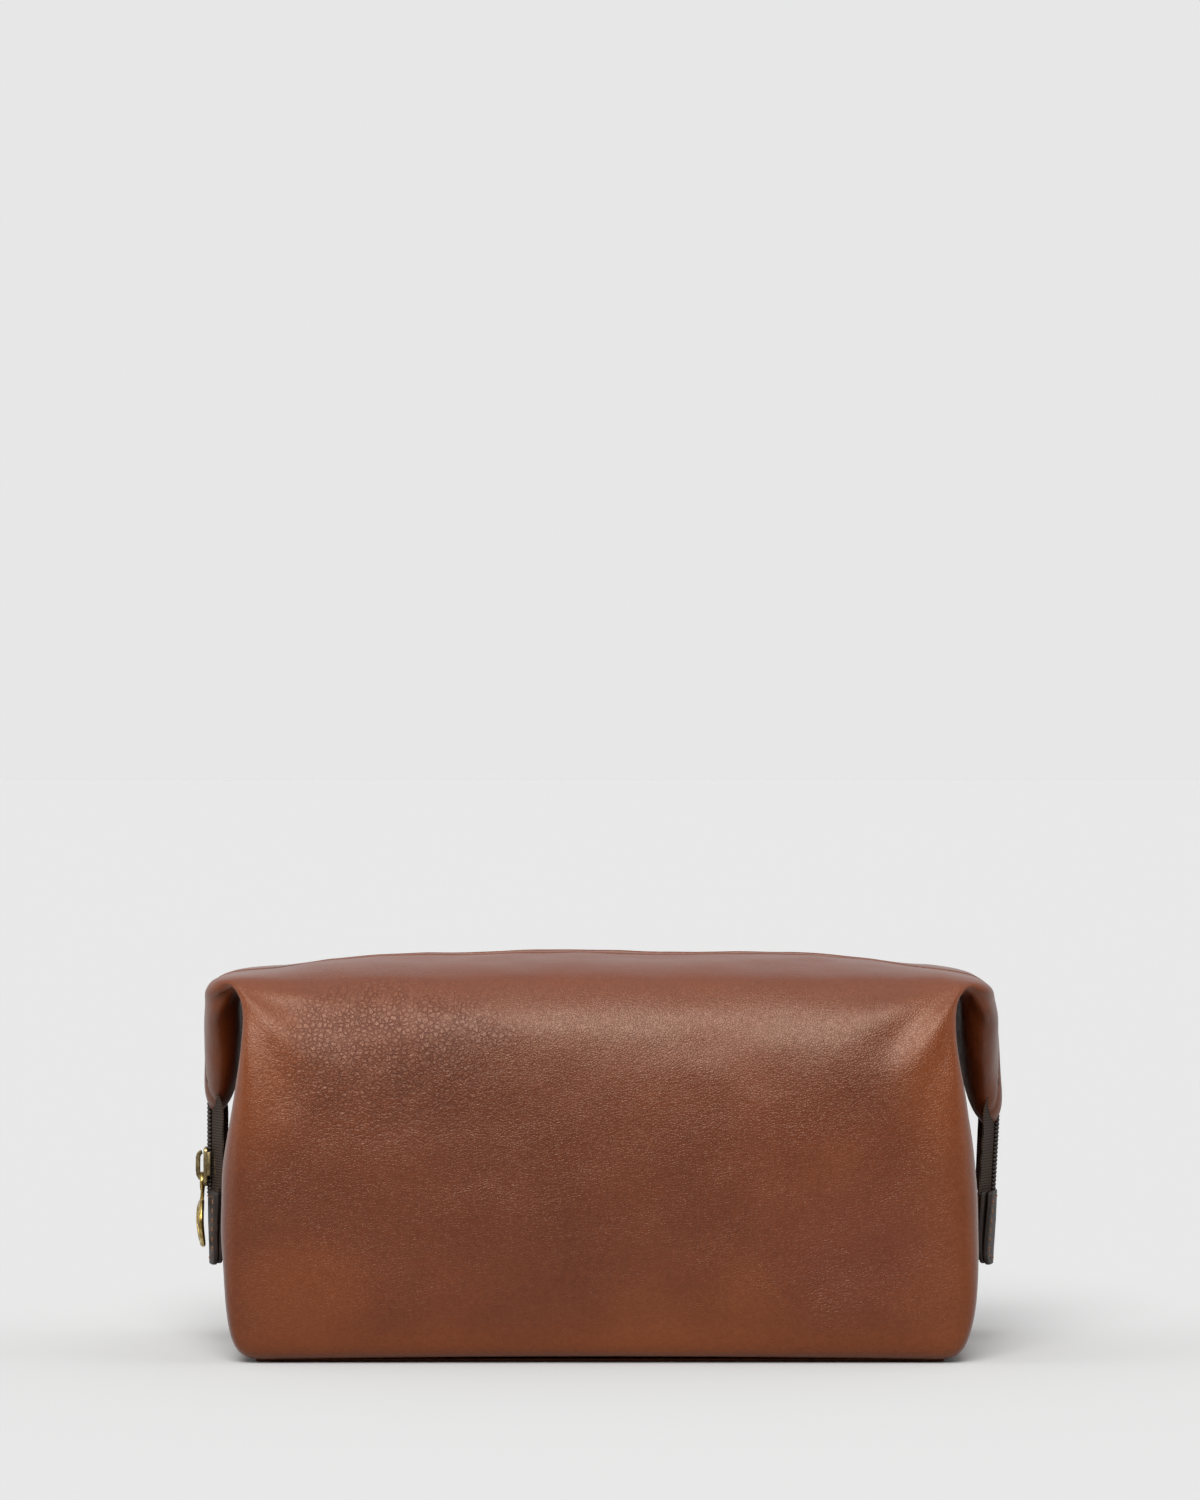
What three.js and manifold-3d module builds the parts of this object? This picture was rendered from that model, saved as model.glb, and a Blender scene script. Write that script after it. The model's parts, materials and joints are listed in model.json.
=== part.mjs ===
import * as THREE from "three";
import { mergeVertices } from "three/addons/utils/BufferGeometryUtils.js";
import Module from "manifold-3d";

// A soft leather shaving kit bag, in millimetres: +X to its right, -Y its front, +Z up.
// It stands on its base at z = 0. The zip runs along X over the top at y = 0, longer than the body,
// and its two ends fold down over the end walls as ears.

const wasm = await Module();
wasm.setup();
const { Manifold } = wasm;

// body
const HALF_LENGTH = 134;
const HALF_BASE_LENGTH = 128;
const HALF_WAIST = 126.5;
const WAIST_Z = 117;
const HALF_DEPTH = 65;
const WALL_TOP_Z = 95;
const HEIGHT = 143;
const CORNER_RADIUS = 22;
const FOOT_RADIUS = 8;

// layers
const LEATHER = 1.8;
const LINING = 0.8;
const GAP = 0.3;
const CURVE_STEPS = 5;

// base
const BASE_HALF_X = 118;
const BASE_HALF_Y = 52;
const BOARD_HALF_X = 112;
const BOARD_HALF_Y = 48;
const BOARD_THICKNESS = 1.5;

// mouth
const LIP_HALF_X = 122;
const LIP_HALF_Y = 50;
const LIP_CUT_Z = 120;
const ZIP_OPENING = 5.5;
const TAPE_HALF_WIDTH = 14;
const TAPE_THICKNESS = 0.8;
const COIL_INNER = 0.7;
const COIL_OUTER = 2.6;
const STITCH_Y = 9;

// ears, by their distance from x = 0
const EAR_GUSSET_X = 131.2;
const EAR_OUTER_X = 139.8;
const EAR_TOP_Z = 134;
const EAR_TIP_Z = 88;
const EAR_TOP_HALF = 54;
const EAR_TIP_HALF = 17;
const EAR_ROUND = 6;
const TAPE_X = 138.6;
const COIL_X = 137.6;
const COIL_THICKNESS = 3;

// zip tails, tabs and slider
const TAB_TOP_Z = 56.5;
const TAB_BOTTOM_Z = 29.8;
const TAB_HALF_WIDTH = 11;
const TAB_INNER_X = 136.6;
const TAB_LEATHER = 1.6;
const TAIL_TOP_Z = 87.3;
const TAIL_COIL_TOP_Z = 85.5;
const TAIL_COIL_BOTTOM_Z = 57.4;
const SLIDER_BOTTOM_Z = 58.4;
const SLIDER_HEIGHT = 13;
const SLIDER_HALF_WIDTH = 4.9;
const SLIDER_PLATE = 1.3;
const CROWN_HALF_WIDTH = 0.7;
const CROWN_REACH = 4.1;
const CROWN_LOW_Z = 59.8;
const CROWN_HIGH_Z = 71;
const CROWN_STRAP = 1.2;
const PULLER_X = 143.05;
const PULLER_THICKNESS = 1.5;
const PULLER_TOP_Z = 63.1;
const EYELET_HOLE = 2.4;
const EYELET_RIM = 1.5;
const RING_HOLE = 6.6;
const RING_NECK = 2;
const RING_RIM = 2.2;

const finish = (color, roughness, metalness = 0) => ({ color, roughness, metalness });
const chestnut = finish(0x75402a, 0.48);
const tabLeather = finish(0x3a2a24, 0.5);
const twill = finish(0x6b5a45, 0.9);
const board = finish(0x8c7f6c, 0.95);
const webbing = finish(0x4a3424, 0.85);
const nylon = finish(0x35231a, 0.5);
const thread = finish(0x2a1e18, 0.7);
const antiqueBrass = finish(0x6b5b3c, 0.4, 1);
const brass = finish(0xa89550, 0.3, 1);

const bag = new THREE.Group();
bag.name = "shaving_kit_bag";

function solidOf(geometry) {
  const plain = geometry.clone();
  plain.deleteAttribute("normal");
  plain.deleteAttribute("uv");
  const merged = mergeVertices(plain, 1e-4);
  return new Manifold(
    new wasm.Mesh({
      numProp: 3,
      vertProperties: Float32Array.from(merged.attributes.position.array),
      triVerts: Uint32Array.from(merged.index.array),
    }),
  );
}

function add(name, solid, look) {
  const data = solid.getMesh();
  const geometry = new THREE.BufferGeometry();
  geometry.setAttribute("position", new THREE.BufferAttribute(data.vertProperties, 3));
  geometry.setIndex(new THREE.BufferAttribute(data.triVerts, 1));
  const mesh = new THREE.Mesh(geometry, new THREE.MeshStandardMaterial(look));
  mesh.name = name;
  bag.add(mesh);
}

const X = new THREE.Vector3(1, 0, 0);
const Y = new THREE.Vector3(0, 1, 0);
const Z = new THREE.Vector3(0, 0, 1);

function extruded(shape, from, to) {
  const geometry = new THREE.ExtrudeGeometry(shape, {
    depth: to - from,
    bevelEnabled: false,
    curveSegments: CURVE_STEPS,
  });
  return geometry.translate(0, 0, from);
}

// An outline in Y and Z, drawn out along X.
function alongX(shape, from, to) {
  const turn = new THREE.Matrix4().makeBasis(Y, Z, X);
  return solidOf(extruded(shape, from, to).applyMatrix4(turn));
}

// An outline in X and Z, drawn out along Y, the same distance each way.
function alongY(shape, half) {
  const turn = new THREE.Matrix4().makeBasis(X, Z, Y.clone().negate());
  return solidOf(extruded(shape, -half, half).applyMatrix4(turn));
}

function box(x0, x1, y0, y1, z0, z1) {
  const geometry = new THREE.BoxGeometry(x1 - x0, y1 - y0, z1 - z0);
  geometry.translate((x0 + x1) / 2, (y0 + y1) / 2, (z0 + z1) / 2);
  return solidOf(geometry);
}

// A closed loop from its right half, which starts and ends on the centre line.
function mirroredLoop(half) {
  const left = half.slice(1, -1).reverse();
  return [...half, ...left.map((p) => new THREE.Vector2(-p.x, p.y))];
}

// A counter-clockwise loop moved inwards by a distance, or outwards where it is negative.
function insetLoop(loop, distance) {
  return loop.map((point, i) => {
    const before = loop.at(i - 1);
    const after = loop[(i + 1) % loop.length];
    const along = point.clone().sub(before).normalize();
    const onward = after.clone().sub(point).normalize();
    const inward = new THREE.Vector2(-along.y, along.x);
    const middle = inward.clone().add(new THREE.Vector2(-onward.y, onward.x)).normalize();
    return point.clone().addScaledVector(middle, distance / middle.dot(inward));
  });
}

const section = new THREE.Path();
section.moveTo(0, 0);
section.lineTo(HALF_DEPTH - FOOT_RADIUS, 0);
section.quadraticCurveTo(HALF_DEPTH, 0, HALF_DEPTH, FOOT_RADIUS);
section.lineTo(HALF_DEPTH, WALL_TOP_Z);
section.bezierCurveTo(HALF_DEPTH, 138, 40, 142, 0, HEIGHT);
const sectionLoop = mirroredLoop(section.getPoints(CURVE_STEPS + 1));

const front = new THREE.Path();
front.moveTo(0, 0);
front.lineTo(HALF_BASE_LENGTH - FOOT_RADIUS, 0);
front.quadraticCurveTo(HALF_BASE_LENGTH, 0, HALF_BASE_LENGTH + 1, FOOT_RADIUS + 1);
front.bezierCurveTo(HALF_LENGTH, 25, HALF_LENGTH + 3, 62, 130, 90);
front.bezierCurveTo(128, 101, HALF_WAIST, 109, HALF_WAIST, WAIST_Z);
front.bezierCurveTo(HALF_WAIST, 127, 131, 136, 118, 139);
front.quadraticCurveTo(80, HEIGHT - 0.5, 0, HEIGHT);
const frontLoop = mirroredLoop(front.getPoints(CURVE_STEPS));

// The bag's outside moved inwards by a distance: the space where its plan, its section
// and its front outline meet.
function loaf(inset) {
  const x = HALF_LENGTH - inset;
  const y = HALF_DEPTH - inset;
  const r = CORNER_RADIUS - inset;
  const plan = new THREE.Shape();
  plan.moveTo(x - r, -y);
  plan.absarc(x - r, -y + r, r, -Math.PI / 2, 0);
  plan.absarc(x - r, y - r, r, 0, Math.PI / 2);
  plan.absarc(-x + r, y - r, r, Math.PI / 2, Math.PI);
  plan.absarc(-x + r, -y + r, r, Math.PI, Math.PI * 1.5);
  return solidOf(extruded(plan, -5, HEIGHT + 10))
    .intersect(alongX(new THREE.Shape(insetLoop(sectionLoop, inset)), -160, 160))
    .intersect(alongY(new THREE.Shape(insetLoop(frontLoop, inset)), 90));
}

const layer = (inset, thickness) => loaf(inset).subtract(loaf(inset + thickness));
const leatherLayer = layer(0, LEATHER);
const liningLayer = layer(LEATHER + 0.4, LINING);
const tapeLayer = layer(LEATHER + GAP, TAPE_THICKNESS);
const coilLayer = layer(1, COIL_THICKNESS - 0.1);
const lipLiningLayer = layer(LEATHER + TAPE_THICKNESS + 0.8, LINING);
const stitchLayer = layer(-0.7, 0.4);

// base: leather panel, stiffening board and the lining over it
add("base_panel", box(-BASE_HALF_X, BASE_HALF_X, -BASE_HALF_Y, BASE_HALF_Y, 0, LEATHER), chestnut);
const boardZ = LEATHER + 0.4;
const boardTop = boardZ + BOARD_THICKNESS;
add(
  "base_stiffener",
  box(-BOARD_HALF_X, BOARD_HALF_X, -BOARD_HALF_Y, BOARD_HALF_Y, boardZ, boardTop),
  board,
);
const baseLiningZ = boardTop + 0.4;
const baseLiningTop = baseLiningZ + LINING;
const insideLining = loaf(LEATHER + 0.4 + LINING + GAP);
add("base_lining", insideLining.intersect(box(-150, 150, -80, 80, baseLiningZ, baseLiningTop)), twill);

// walls, with the mouth and the base panel's place cut out
const mouthCut = box(
  -LIP_HALF_X - GAP,
  LIP_HALF_X + GAP,
  -LIP_HALF_Y - GAP,
  LIP_HALF_Y + GAP,
  LIP_CUT_Z,
  HEIGHT + 5,
);
const baseCut = box(
  -BASE_HALF_X - GAP,
  BASE_HALF_X + GAP,
  -BASE_HALF_Y - GAP,
  BASE_HALF_Y + GAP,
  -1,
  LEATHER + 1,
);

for (const [half, side] of [["front", -1], ["back", 1]]) {
  // One side of the bag in Y, between two distances from its centre line.
  const band = (x, near, far, z) =>
    side < 0 ? box(-x, x, -far, -near, z, HEIGHT + 5) : box(-x, x, near, far, z, HEIGHT + 5);

  const wall = leatherLayer.intersect(band(150, GAP / 2, 80, -1));
  add(half + "_panel", wall.subtract(mouthCut).subtract(baseCut), chestnut);
  const wallLining = liningLayer.intersect(band(150, GAP / 2, 80, baseLiningTop + GAP));
  add(half + "_lining", wallLining.subtract(mouthCut), twill);

  // the lip, which is this side of the mouth with its half of the zip
  const lip = (solid, near, far, x = LIP_HALF_X) => solid.intersect(band(x, near, far, LIP_CUT_Z));
  add(half + "_top_panel", lip(leatherLayer, ZIP_OPENING, LIP_HALF_Y), chestnut);
  add(half + "_top_lining", lip(lipLiningLayer, 3, LIP_HALF_Y - 0.2), twill);
  add(half + "_zip_tape_top", lip(tapeLayer, COIL_OUTER + GAP, TAPE_HALF_WIDTH), webbing);
  add(half + "_zip_coil_top", lip(coilLayer, COIL_INNER, COIL_OUTER), nylon);
  const stitches = lip(stitchLayer, STITCH_Y - 0.4, STITCH_Y + 0.4, LIP_HALF_X - 2);
  add(half + "_topstitch", stitches, thread);
}

// The ear's outline in Y and Z: wide at the fold, narrow at the tip, with round lower corners.
function earOutline(inset, over) {
  const slope = (EAR_TOP_HALF - EAR_TIP_HALF) / (EAR_TOP_Z - EAR_TIP_Z);
  const across = inset * Math.hypot(1, slope);
  const halfAt = (z) => EAR_TIP_HALF + (z - EAR_TIP_Z) * slope - across;
  const top = EAR_TOP_Z + over;
  const low = EAR_TIP_Z - over;
  const shape = new THREE.Shape();
  shape.moveTo(halfAt(top), top);
  shape.lineTo(-halfAt(top), top);
  if (over > 0) {
    shape.lineTo(-halfAt(low), low);
    shape.lineTo(halfAt(low), low);
    return shape;
  }
  const start = low + EAR_ROUND;
  shape.lineTo(-halfAt(start), start);
  shape.quadraticCurveTo(-halfAt(low), low, -halfAt(low) + EAR_ROUND, low);
  shape.lineTo(halfAt(low) - EAR_ROUND, low);
  shape.quadraticCurveTo(halfAt(low), low, halfAt(start), start);
  return shape;
}

// A flat piece between two distances from x = 0, on the left or the right.
function sheet(shape, side, near, far) {
  return side < 0 ? alongX(shape, -far, -near) : alongX(shape, near, far);
}

function block(side, near, far, y0, y1, z0, z1) {
  return side < 0 ? box(-far, -near, y0, y1, z0, z1) : box(near, far, y0, y1, z0, z1);
}

const tapeFar = TAPE_X + TAPE_THICKNESS;
const coilFar = COIL_X + COIL_THICKNESS;

for (const [hand, side] of [["left", -1], ["right", 1]]) {
  const left = side < 0;
  const gussetFar = EAR_GUSSET_X + LEATHER;
  const outerFar = EAR_OUTER_X + LEATHER;
  add(hand + "_ear_gusset", sheet(earOutline(0, 0), side, EAR_GUSSET_X, gussetFar), chestnut);

  // the outer layer with its returns along the slanted folds, cut open for the zip
  const hood = sheet(earOutline(0, 0), side, gussetFar + GAP, outerFar)
    .subtract(sheet(earOutline(LEATHER, 2), side, gussetFar, EAR_OUTER_X))
    .subtract(block(side, 130, 150, -ZIP_OPENING, ZIP_OPENING, 80, 140));
  const low = left ? TAIL_COIL_BOTTOM_Z : EAR_TIP_Z + 0.6;
  for (const [half, towards] of [["front", -1], ["back", 1]]) {
    const span = (near, far) => (towards < 0 ? [-far, -near] : [near, far]);
    const row = STITCH_Y - 0.4;
    add(
      hand + "_ear_" + half,
      hood.intersect(block(side, 130, 150, ...span(0, 60), 80, 140)),
      chestnut,
    );
    add(
      hand + "_ear_tape_" + half,
      block(side, TAPE_X, tapeFar, ...span(COIL_OUTER + GAP, TAPE_HALF_WIDTH), low, EAR_TOP_Z),
      webbing,
    );
    add(
      hand + "_ear_coil_" + half,
      block(side, COIL_X, coilFar, ...span(COIL_INNER, COIL_OUTER), low, EAR_TOP_Z),
      nylon,
    );
    add(
      hand + "_ear_stitch_" + half,
      block(side, outerFar + GAP, outerFar + 0.7, ...span(row, row + 0.8), EAR_TIP_Z + 4, EAR_TOP_Z),
      thread,
    );
  }

  // The zip's tail below the ear. On the left it is one with the ear's tape, down to the tab.
  const tabTapeTop = left ? TAB_TOP_Z : TAIL_TOP_Z;
  const coreHalf = TAPE_HALF_WIDTH - (left ? 5 : 0);
  if (left) {
    const core = block(side, TAPE_X, tapeFar, -coreHalf, coreHalf, TAB_BOTTOM_Z + 10, tabTapeTop);
    add("left_tab_tape_end", core, webbing);
  } else {
    for (const [half, towards] of [["front", -1], ["back", 1]]) {
      const span = (near, far) => (towards < 0 ? [-far, -near] : [near, far]);
      add(
        "right_tail_tape_" + half,
        block(side, TAPE_X, tapeFar, ...span(COIL_OUTER + GAP, 10), TAB_BOTTOM_Z + 10, TAIL_TOP_Z),
        webbing,
      );
      add(
        "right_tail_coil_" + half,
        block(
          side,
          COIL_X,
          coilFar,
          ...span(COIL_INNER, COIL_OUTER),
          TAIL_COIL_BOTTOM_Z,
          TAIL_COIL_TOP_Z,
        ),
        nylon,
      );
    }
  }

  // the tab: an inner and an outer leaf over the tape's end, with one row of stitching
  const tab = new THREE.Shape();
  tab.moveTo(TAB_HALF_WIDTH, TAB_TOP_Z);
  tab.lineTo(-TAB_HALF_WIDTH, TAB_TOP_Z);
  tab.lineTo(-TAB_HALF_WIDTH, TAB_BOTTOM_Z + 5);
  tab.quadraticCurveTo(-TAB_HALF_WIDTH, TAB_BOTTOM_Z, -TAB_HALF_WIDTH + 5, TAB_BOTTOM_Z);
  tab.lineTo(TAB_HALF_WIDTH - 5, TAB_BOTTOM_Z);
  tab.quadraticCurveTo(TAB_HALF_WIDTH, TAB_BOTTOM_Z, TAB_HALF_WIDTH, TAB_BOTTOM_Z + 5);
  const tabOuterX = tapeFar + 0.4;
  const tabFar = tabOuterX + TAB_LEATHER;
  add(hand + "_tab_inner", sheet(tab, side, TAB_INNER_X, TAB_INNER_X + TAB_LEATHER), tabLeather);
  add(hand + "_tab_outer", sheet(tab, side, tabOuterX, tabFar), tabLeather);
  const rim = (inset) =>
    sheet(new THREE.Shape(insetLoop(tab.getPoints(4), inset)), side, tabFar + GAP, tabFar + 0.6);
  add(hand + "_tab_stitching", rim(1.8).subtract(rim(2.6)), thread);
}

// slider on the left: two plates either side of the coils, joined by a thin web between them
const sliderTop = SLIDER_BOTTOM_Z + SLIDER_HEIGHT;
const plate = new THREE.Shape();
plate.moveTo(SLIDER_HALF_WIDTH, sliderTop);
plate.lineTo(-SLIDER_HALF_WIDTH, sliderTop);
plate.lineTo(-SLIDER_HALF_WIDTH, SLIDER_BOTTOM_Z + 4);
plate.lineTo(-SLIDER_HALF_WIDTH + 1.4, SLIDER_BOTTOM_Z);
plate.lineTo(SLIDER_HALF_WIDTH - 1.4, SLIDER_BOTTOM_Z);
plate.lineTo(SLIDER_HALF_WIDTH, SLIDER_BOTTOM_Z + 4);
const wingX = coilFar + GAP;
const wingFar = wingX + SLIDER_PLATE;
const innerFar = COIL_X - GAP;
const flange = (near, far, y0, y1) => block(-1, near, far, y0, y1, SLIDER_BOTTOM_Z + 4, sliderTop);
const slider = sheet(plate, -1, wingX, wingFar)
  .add(sheet(plate, -1, innerFar - SLIDER_PLATE, innerFar))
  .add(block(-1, innerFar - 0.2, wingX + 0.2, -0.35, 0.35, sliderTop - 5, sliderTop - 1))
  .add(flange(tapeFar + GAP, wingX + 0.2, 4.2, SLIDER_HALF_WIDTH))
  .add(flange(tapeFar + GAP, wingX + 0.2, -SLIDER_HALF_WIDTH, -4.2))
  .add(flange(innerFar - 0.2, TAPE_X - GAP, 4.2, SLIDER_HALF_WIDTH))
  .add(flange(innerFar - 0.2, TAPE_X - GAP, -SLIDER_HALF_WIDTH, -4.2));
add("slider_body", slider, antiqueBrass);

// crown: a small bridge on the outer plate that the puller's eye hangs from
const crownFar = wingFar + CROWN_REACH;
const bridge = block(
  -1,
  wingFar + GAP,
  crownFar,
  -CROWN_HALF_WIDTH,
  CROWN_HALF_WIDTH,
  CROWN_LOW_Z,
  CROWN_HIGH_Z,
);
const bridgeHole = block(
  -1,
  wingFar + GAP - 1,
  crownFar - CROWN_STRAP,
  -2,
  2,
  CROWN_LOW_Z + 1.3,
  CROWN_HIGH_Z - CROWN_STRAP,
);
add("slider_crown", bridge.subtract(bridgeHole), antiqueBrass);

// puller: a small eye over the crown and a larger finger ring below it, cut from one plate
const eyeZ = PULLER_TOP_Z - EYELET_RIM - EYELET_HOLE;
const ringZ = eyeZ - EYELET_HOLE - EYELET_RIM - RING_NECK - RING_RIM - RING_HOLE;
const neckLow = ringZ + RING_HOLE + RING_RIM - 0.6;
const neckHigh = eyeZ - EYELET_HOLE - EYELET_RIM + 0.6;
const pullerFar = PULLER_X + PULLER_THICKNESS;
function disc(z, radius, near, far) {
  const round = new THREE.CylinderGeometry(radius, radius, far - near, 20);
  round.rotateZ(Math.PI / 2).translate(-(near + far) / 2, 0, z);
  return solidOf(round);
}
const puller = disc(eyeZ, EYELET_HOLE + EYELET_RIM, PULLER_X, pullerFar)
  .add(disc(ringZ, RING_HOLE + RING_RIM, PULLER_X, pullerFar))
  .add(block(-1, PULLER_X, pullerFar, -1.6, 1.6, neckLow, neckHigh))
  .subtract(disc(eyeZ, EYELET_HOLE, PULLER_X - 1, pullerFar + 1))
  .subtract(disc(ringZ, RING_HOLE, PULLER_X - 1, pullerFar + 1));
add("ring_puller", puller, brass);

export default bag;
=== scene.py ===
import json
import math
import bpy
import bmesh
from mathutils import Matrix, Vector, noise
from mathutils.bvhtree import BVHTree

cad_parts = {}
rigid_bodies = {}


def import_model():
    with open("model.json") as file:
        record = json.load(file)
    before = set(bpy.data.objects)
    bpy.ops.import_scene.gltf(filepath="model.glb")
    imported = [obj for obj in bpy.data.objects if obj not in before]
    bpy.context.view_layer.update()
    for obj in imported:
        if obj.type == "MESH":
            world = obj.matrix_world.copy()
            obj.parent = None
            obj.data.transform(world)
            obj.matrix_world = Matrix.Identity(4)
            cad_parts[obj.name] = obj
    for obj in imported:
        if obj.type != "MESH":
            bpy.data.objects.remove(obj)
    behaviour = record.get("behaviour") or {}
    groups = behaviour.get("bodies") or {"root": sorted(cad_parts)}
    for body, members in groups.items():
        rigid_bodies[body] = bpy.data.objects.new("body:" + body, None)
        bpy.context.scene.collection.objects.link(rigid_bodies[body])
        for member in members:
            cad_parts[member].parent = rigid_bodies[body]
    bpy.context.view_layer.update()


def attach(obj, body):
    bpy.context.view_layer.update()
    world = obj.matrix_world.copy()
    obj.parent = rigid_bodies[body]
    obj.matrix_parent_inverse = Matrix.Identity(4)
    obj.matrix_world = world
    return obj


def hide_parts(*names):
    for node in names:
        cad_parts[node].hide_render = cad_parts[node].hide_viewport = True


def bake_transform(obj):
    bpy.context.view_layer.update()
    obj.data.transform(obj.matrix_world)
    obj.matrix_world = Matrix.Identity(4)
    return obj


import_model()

mm = 0.001

for piece in bpy.context.scene.objects:
    piece.select_set(False)

# Helpers.


def hexColour(code, alpha=1.0):
    parts = [int(code[i:i + 2], 16) / 255 for i in (1, 3, 5)]
    return [p / 12.92 if p <= 0.04045 else ((p + 0.055) / 1.055) ** 2.4 for p in parts] + [alpha]


def setInputs(tree, node, inputs):
    # Each input gets a node, a socket, a hex colour or a plain value.
    for name, value in inputs.items():
        if isinstance(value, bpy.types.Node):
            value = next(s for s in value.outputs if s.enabled)
        if isinstance(value, bpy.types.NodeSocket):
            tree.links.new(value, node.inputs[name])
        else:
            node.inputs[name].default_value = hexColour(value) if isinstance(value, str) else value


def addNode(tree, kind, inputs=None, stops=(), **settings):
    # The one function that adds a node; stops are the places and colours of a colour ramp.
    node = tree.nodes.new("ShaderNode" + kind)
    for name, value in settings.items():
        setattr(node, name, value)
    setInputs(tree, node, inputs or {})
    for place, _ in stops[2:]:
        node.color_ramp.elements.new(place)
    for element, (place, colour) in zip(node.color_ramp.elements if stops else (), stops):
        element.position = place
        element.color = hexColour(colour)
    return node


def newMaterial(name):
    material = bpy.data.materials.new(name)
    material.use_nodes = True
    tree = material.node_tree
    return material, tree, tree.nodes["Principled BSDF"]


def meshPiece(name, points, faces, material, smooth=True):
    mesh = bpy.data.meshes.new(name)
    mesh.from_pydata([Vector(p) for p in points], [], faces)
    mesh.update()
    piece = bpy.data.objects.new(name, mesh)
    bpy.context.collection.objects.link(piece)
    mesh.materials.append(material)
    for face in mesh.polygons:
        face.use_smooth = smooth
    return piece


def onlySelect(piece):
    for other in bpy.context.selected_objects:
        other.select_set(False)
    piece.select_set(True)
    bpy.context.view_layer.objects.active = piece


def applyModifier(piece, kind, **settings):
    onlySelect(piece)
    modifier = piece.modifiers.new(kind.lower(), kind)
    for name, value in settings.items():
        setattr(modifier, name, value)
    bpy.ops.object.modifier_apply(modifier=modifier.name)


def between(table, at):
    for (a, va), (b, vb) in zip(table, table[1:]):
        if at <= b:
            return va + (vb - va) * max(0.0, (at - a) / (b - a))
    return table[-1][1]


def ease(low, high, at):
    t = min(1.0, max(0.0, (at - low) / (high - low)))
    return t * t * (3 - 2 * t)


# Camera.

view = dict(distance=2135, height=215, lens=142)
cameraData = bpy.data.cameras.new("camera")
cameraData.lens = view["lens"]
cameraData.sensor_width = 36
camera = bpy.data.objects.new("camera", cameraData)
camera.location = (0, -view["distance"] * mm, view["height"] * mm)
camera.rotation_euler = (math.pi / 2, 0, 0)
bpy.context.collection.objects.link(camera)
bpy.context.scene.camera = camera

# Materials: every pattern is given by its size in mm, and a texture's scale is one over that.
waveTurn = 0.314  # a band wave repeats once in this share of one over its scale


def per(size):
    return 1 / (size * mm)


def patch(tree, coords, centre, size):
    # 1 at a place on the bag, fading to 0 at a distance given for each direction, in mm.
    shifted = addNode(tree, "VectorMath", {0: coords, 1: [-c * mm for c in centre]}, operation="ADD")
    scaled = addNode(
        tree, "VectorMath", {0: shifted, 1: [1 / (s * mm) for s in size]}, operation="MULTIPLY"
    )
    far = addNode(tree, "VectorMath", {0: scaled}, operation="LENGTH").outputs["Value"]
    return addNode(
        tree, "MapRange", {"Value": far, "From Min": 0.25, "To Min": 1.0, "To Max": 0.0},
        interpolation_type="SMOOTHSTEP")


# Full-grain cowhide, vegetable tanned, drum dyed chestnut, waxed and plated: the eye sees a deep
# even brown with slow warm clouds, orange where it is stretched over the folds and a painted
# highlight on the same fold ridges, a satin gloss broken by fine pores, and pebbled creases on the
# shoulder where the hide was slack.
hide = dict(
    dye=[(0.36, "#431806"), (0.5, "#4D1E08"), (0.64, "#58270B")],
    slowCloud=85, quickCloud=24, pebble=1.85, pore=0.95, skin=0.7, fold=9, gloss=(0.34, 0.39),
    # Orange patches on the folded top corners: partly lightening of the stretched hide, partly a painted
    # highlight on the fold ridges.
    pulledAndHighlit=[((x, y, z), (28, 60, 46), 0.45, "#73360F")
            for x, y, z in ((-122, -60, 106), (122, -60, 104), (-122, 60, 106), (122, 60, 104))],
    # The top from 118 mm up is painted lighter: a painted highlight of the light from above.
    shoulder=(0.118, 0.14, 0.35, "#672B10"),
    # The bottom 18 mm is painted lighter: a painted reflection of the bright floor.
    foot=(0.018, 0.0, 0.5, "#6F3410"),
    # Patches on the front face: the right one is darker reddish mottling, the middle one painted shade on the
    # dimmer lower front, the lower left one painted light on the brighter left end.
    mottleAndPaintedLight=[((88, -66, 42), (44, 34, 34), 0.5, "#471713"), ((-10, -66, 62), (90, 44, 60), 0.5, "#401608"),
            ((-104, -66, 24), (36, 30, 28), 0.4, "#73350F")],
    slack=((-76, -60, 108), (58, 46, 44)),
)
leather, tree, shader = newMaterial("waxedCowhide")
coords = addNode(tree, "TexCoord").outputs["Object"]
height = addNode(tree, "SeparateXYZ", {0: coords}).outputs["Z"]
slow = addNode(tree, "TexNoise", {
    "Vector": coords, "Scale": per(hide["slowCloud"]), "Detail": 2, "Roughness": 0.45, "Distortion": 0.3})
cloud = addNode(tree, "TexNoise", {
    "Vector": coords, "Scale": per(hide["quickCloud"]), "Detail": 4, "Roughness": 0.5, "Distortion": 0.2})
slowShare = addNode(tree, "Math", {0: slow, 1: 0.7}, operation="MULTIPLY")
cloudShare = addNode(tree, "Math", {0: cloud, 1: 0.3}, operation="MULTIPLY")
clouds = addNode(tree, "Math", {0: slowShare, 1: cloudShare}, operation="ADD")
tone = addNode(tree, "ValToRGB", {"Fac": clouds}, stops=hide["dye"])
layers = []
# The fold-corner patches: stretched hide and a painted highlight.
for centre, size, weight, colour in hide["pulledAndHighlit"]:
    layers.append(
        (
            addNode(tree, "Math", {0: patch(tree, coords, centre, size), 1: weight}, operation="MULTIPLY"),
            colour
        )
    )
# Bands by height: a painted highlight along the top and a painted floor reflection along the bottom.
for low, high, weight, colour in (hide["shoulder"], hide["foot"]):
    share = addNode(
        tree, "MapRange", {"Value": height, "From Min": low, "From Max": high, "To Max": weight},
        interpolation_type="SMOOTHSTEP")
    layers.append((share, colour))
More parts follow.
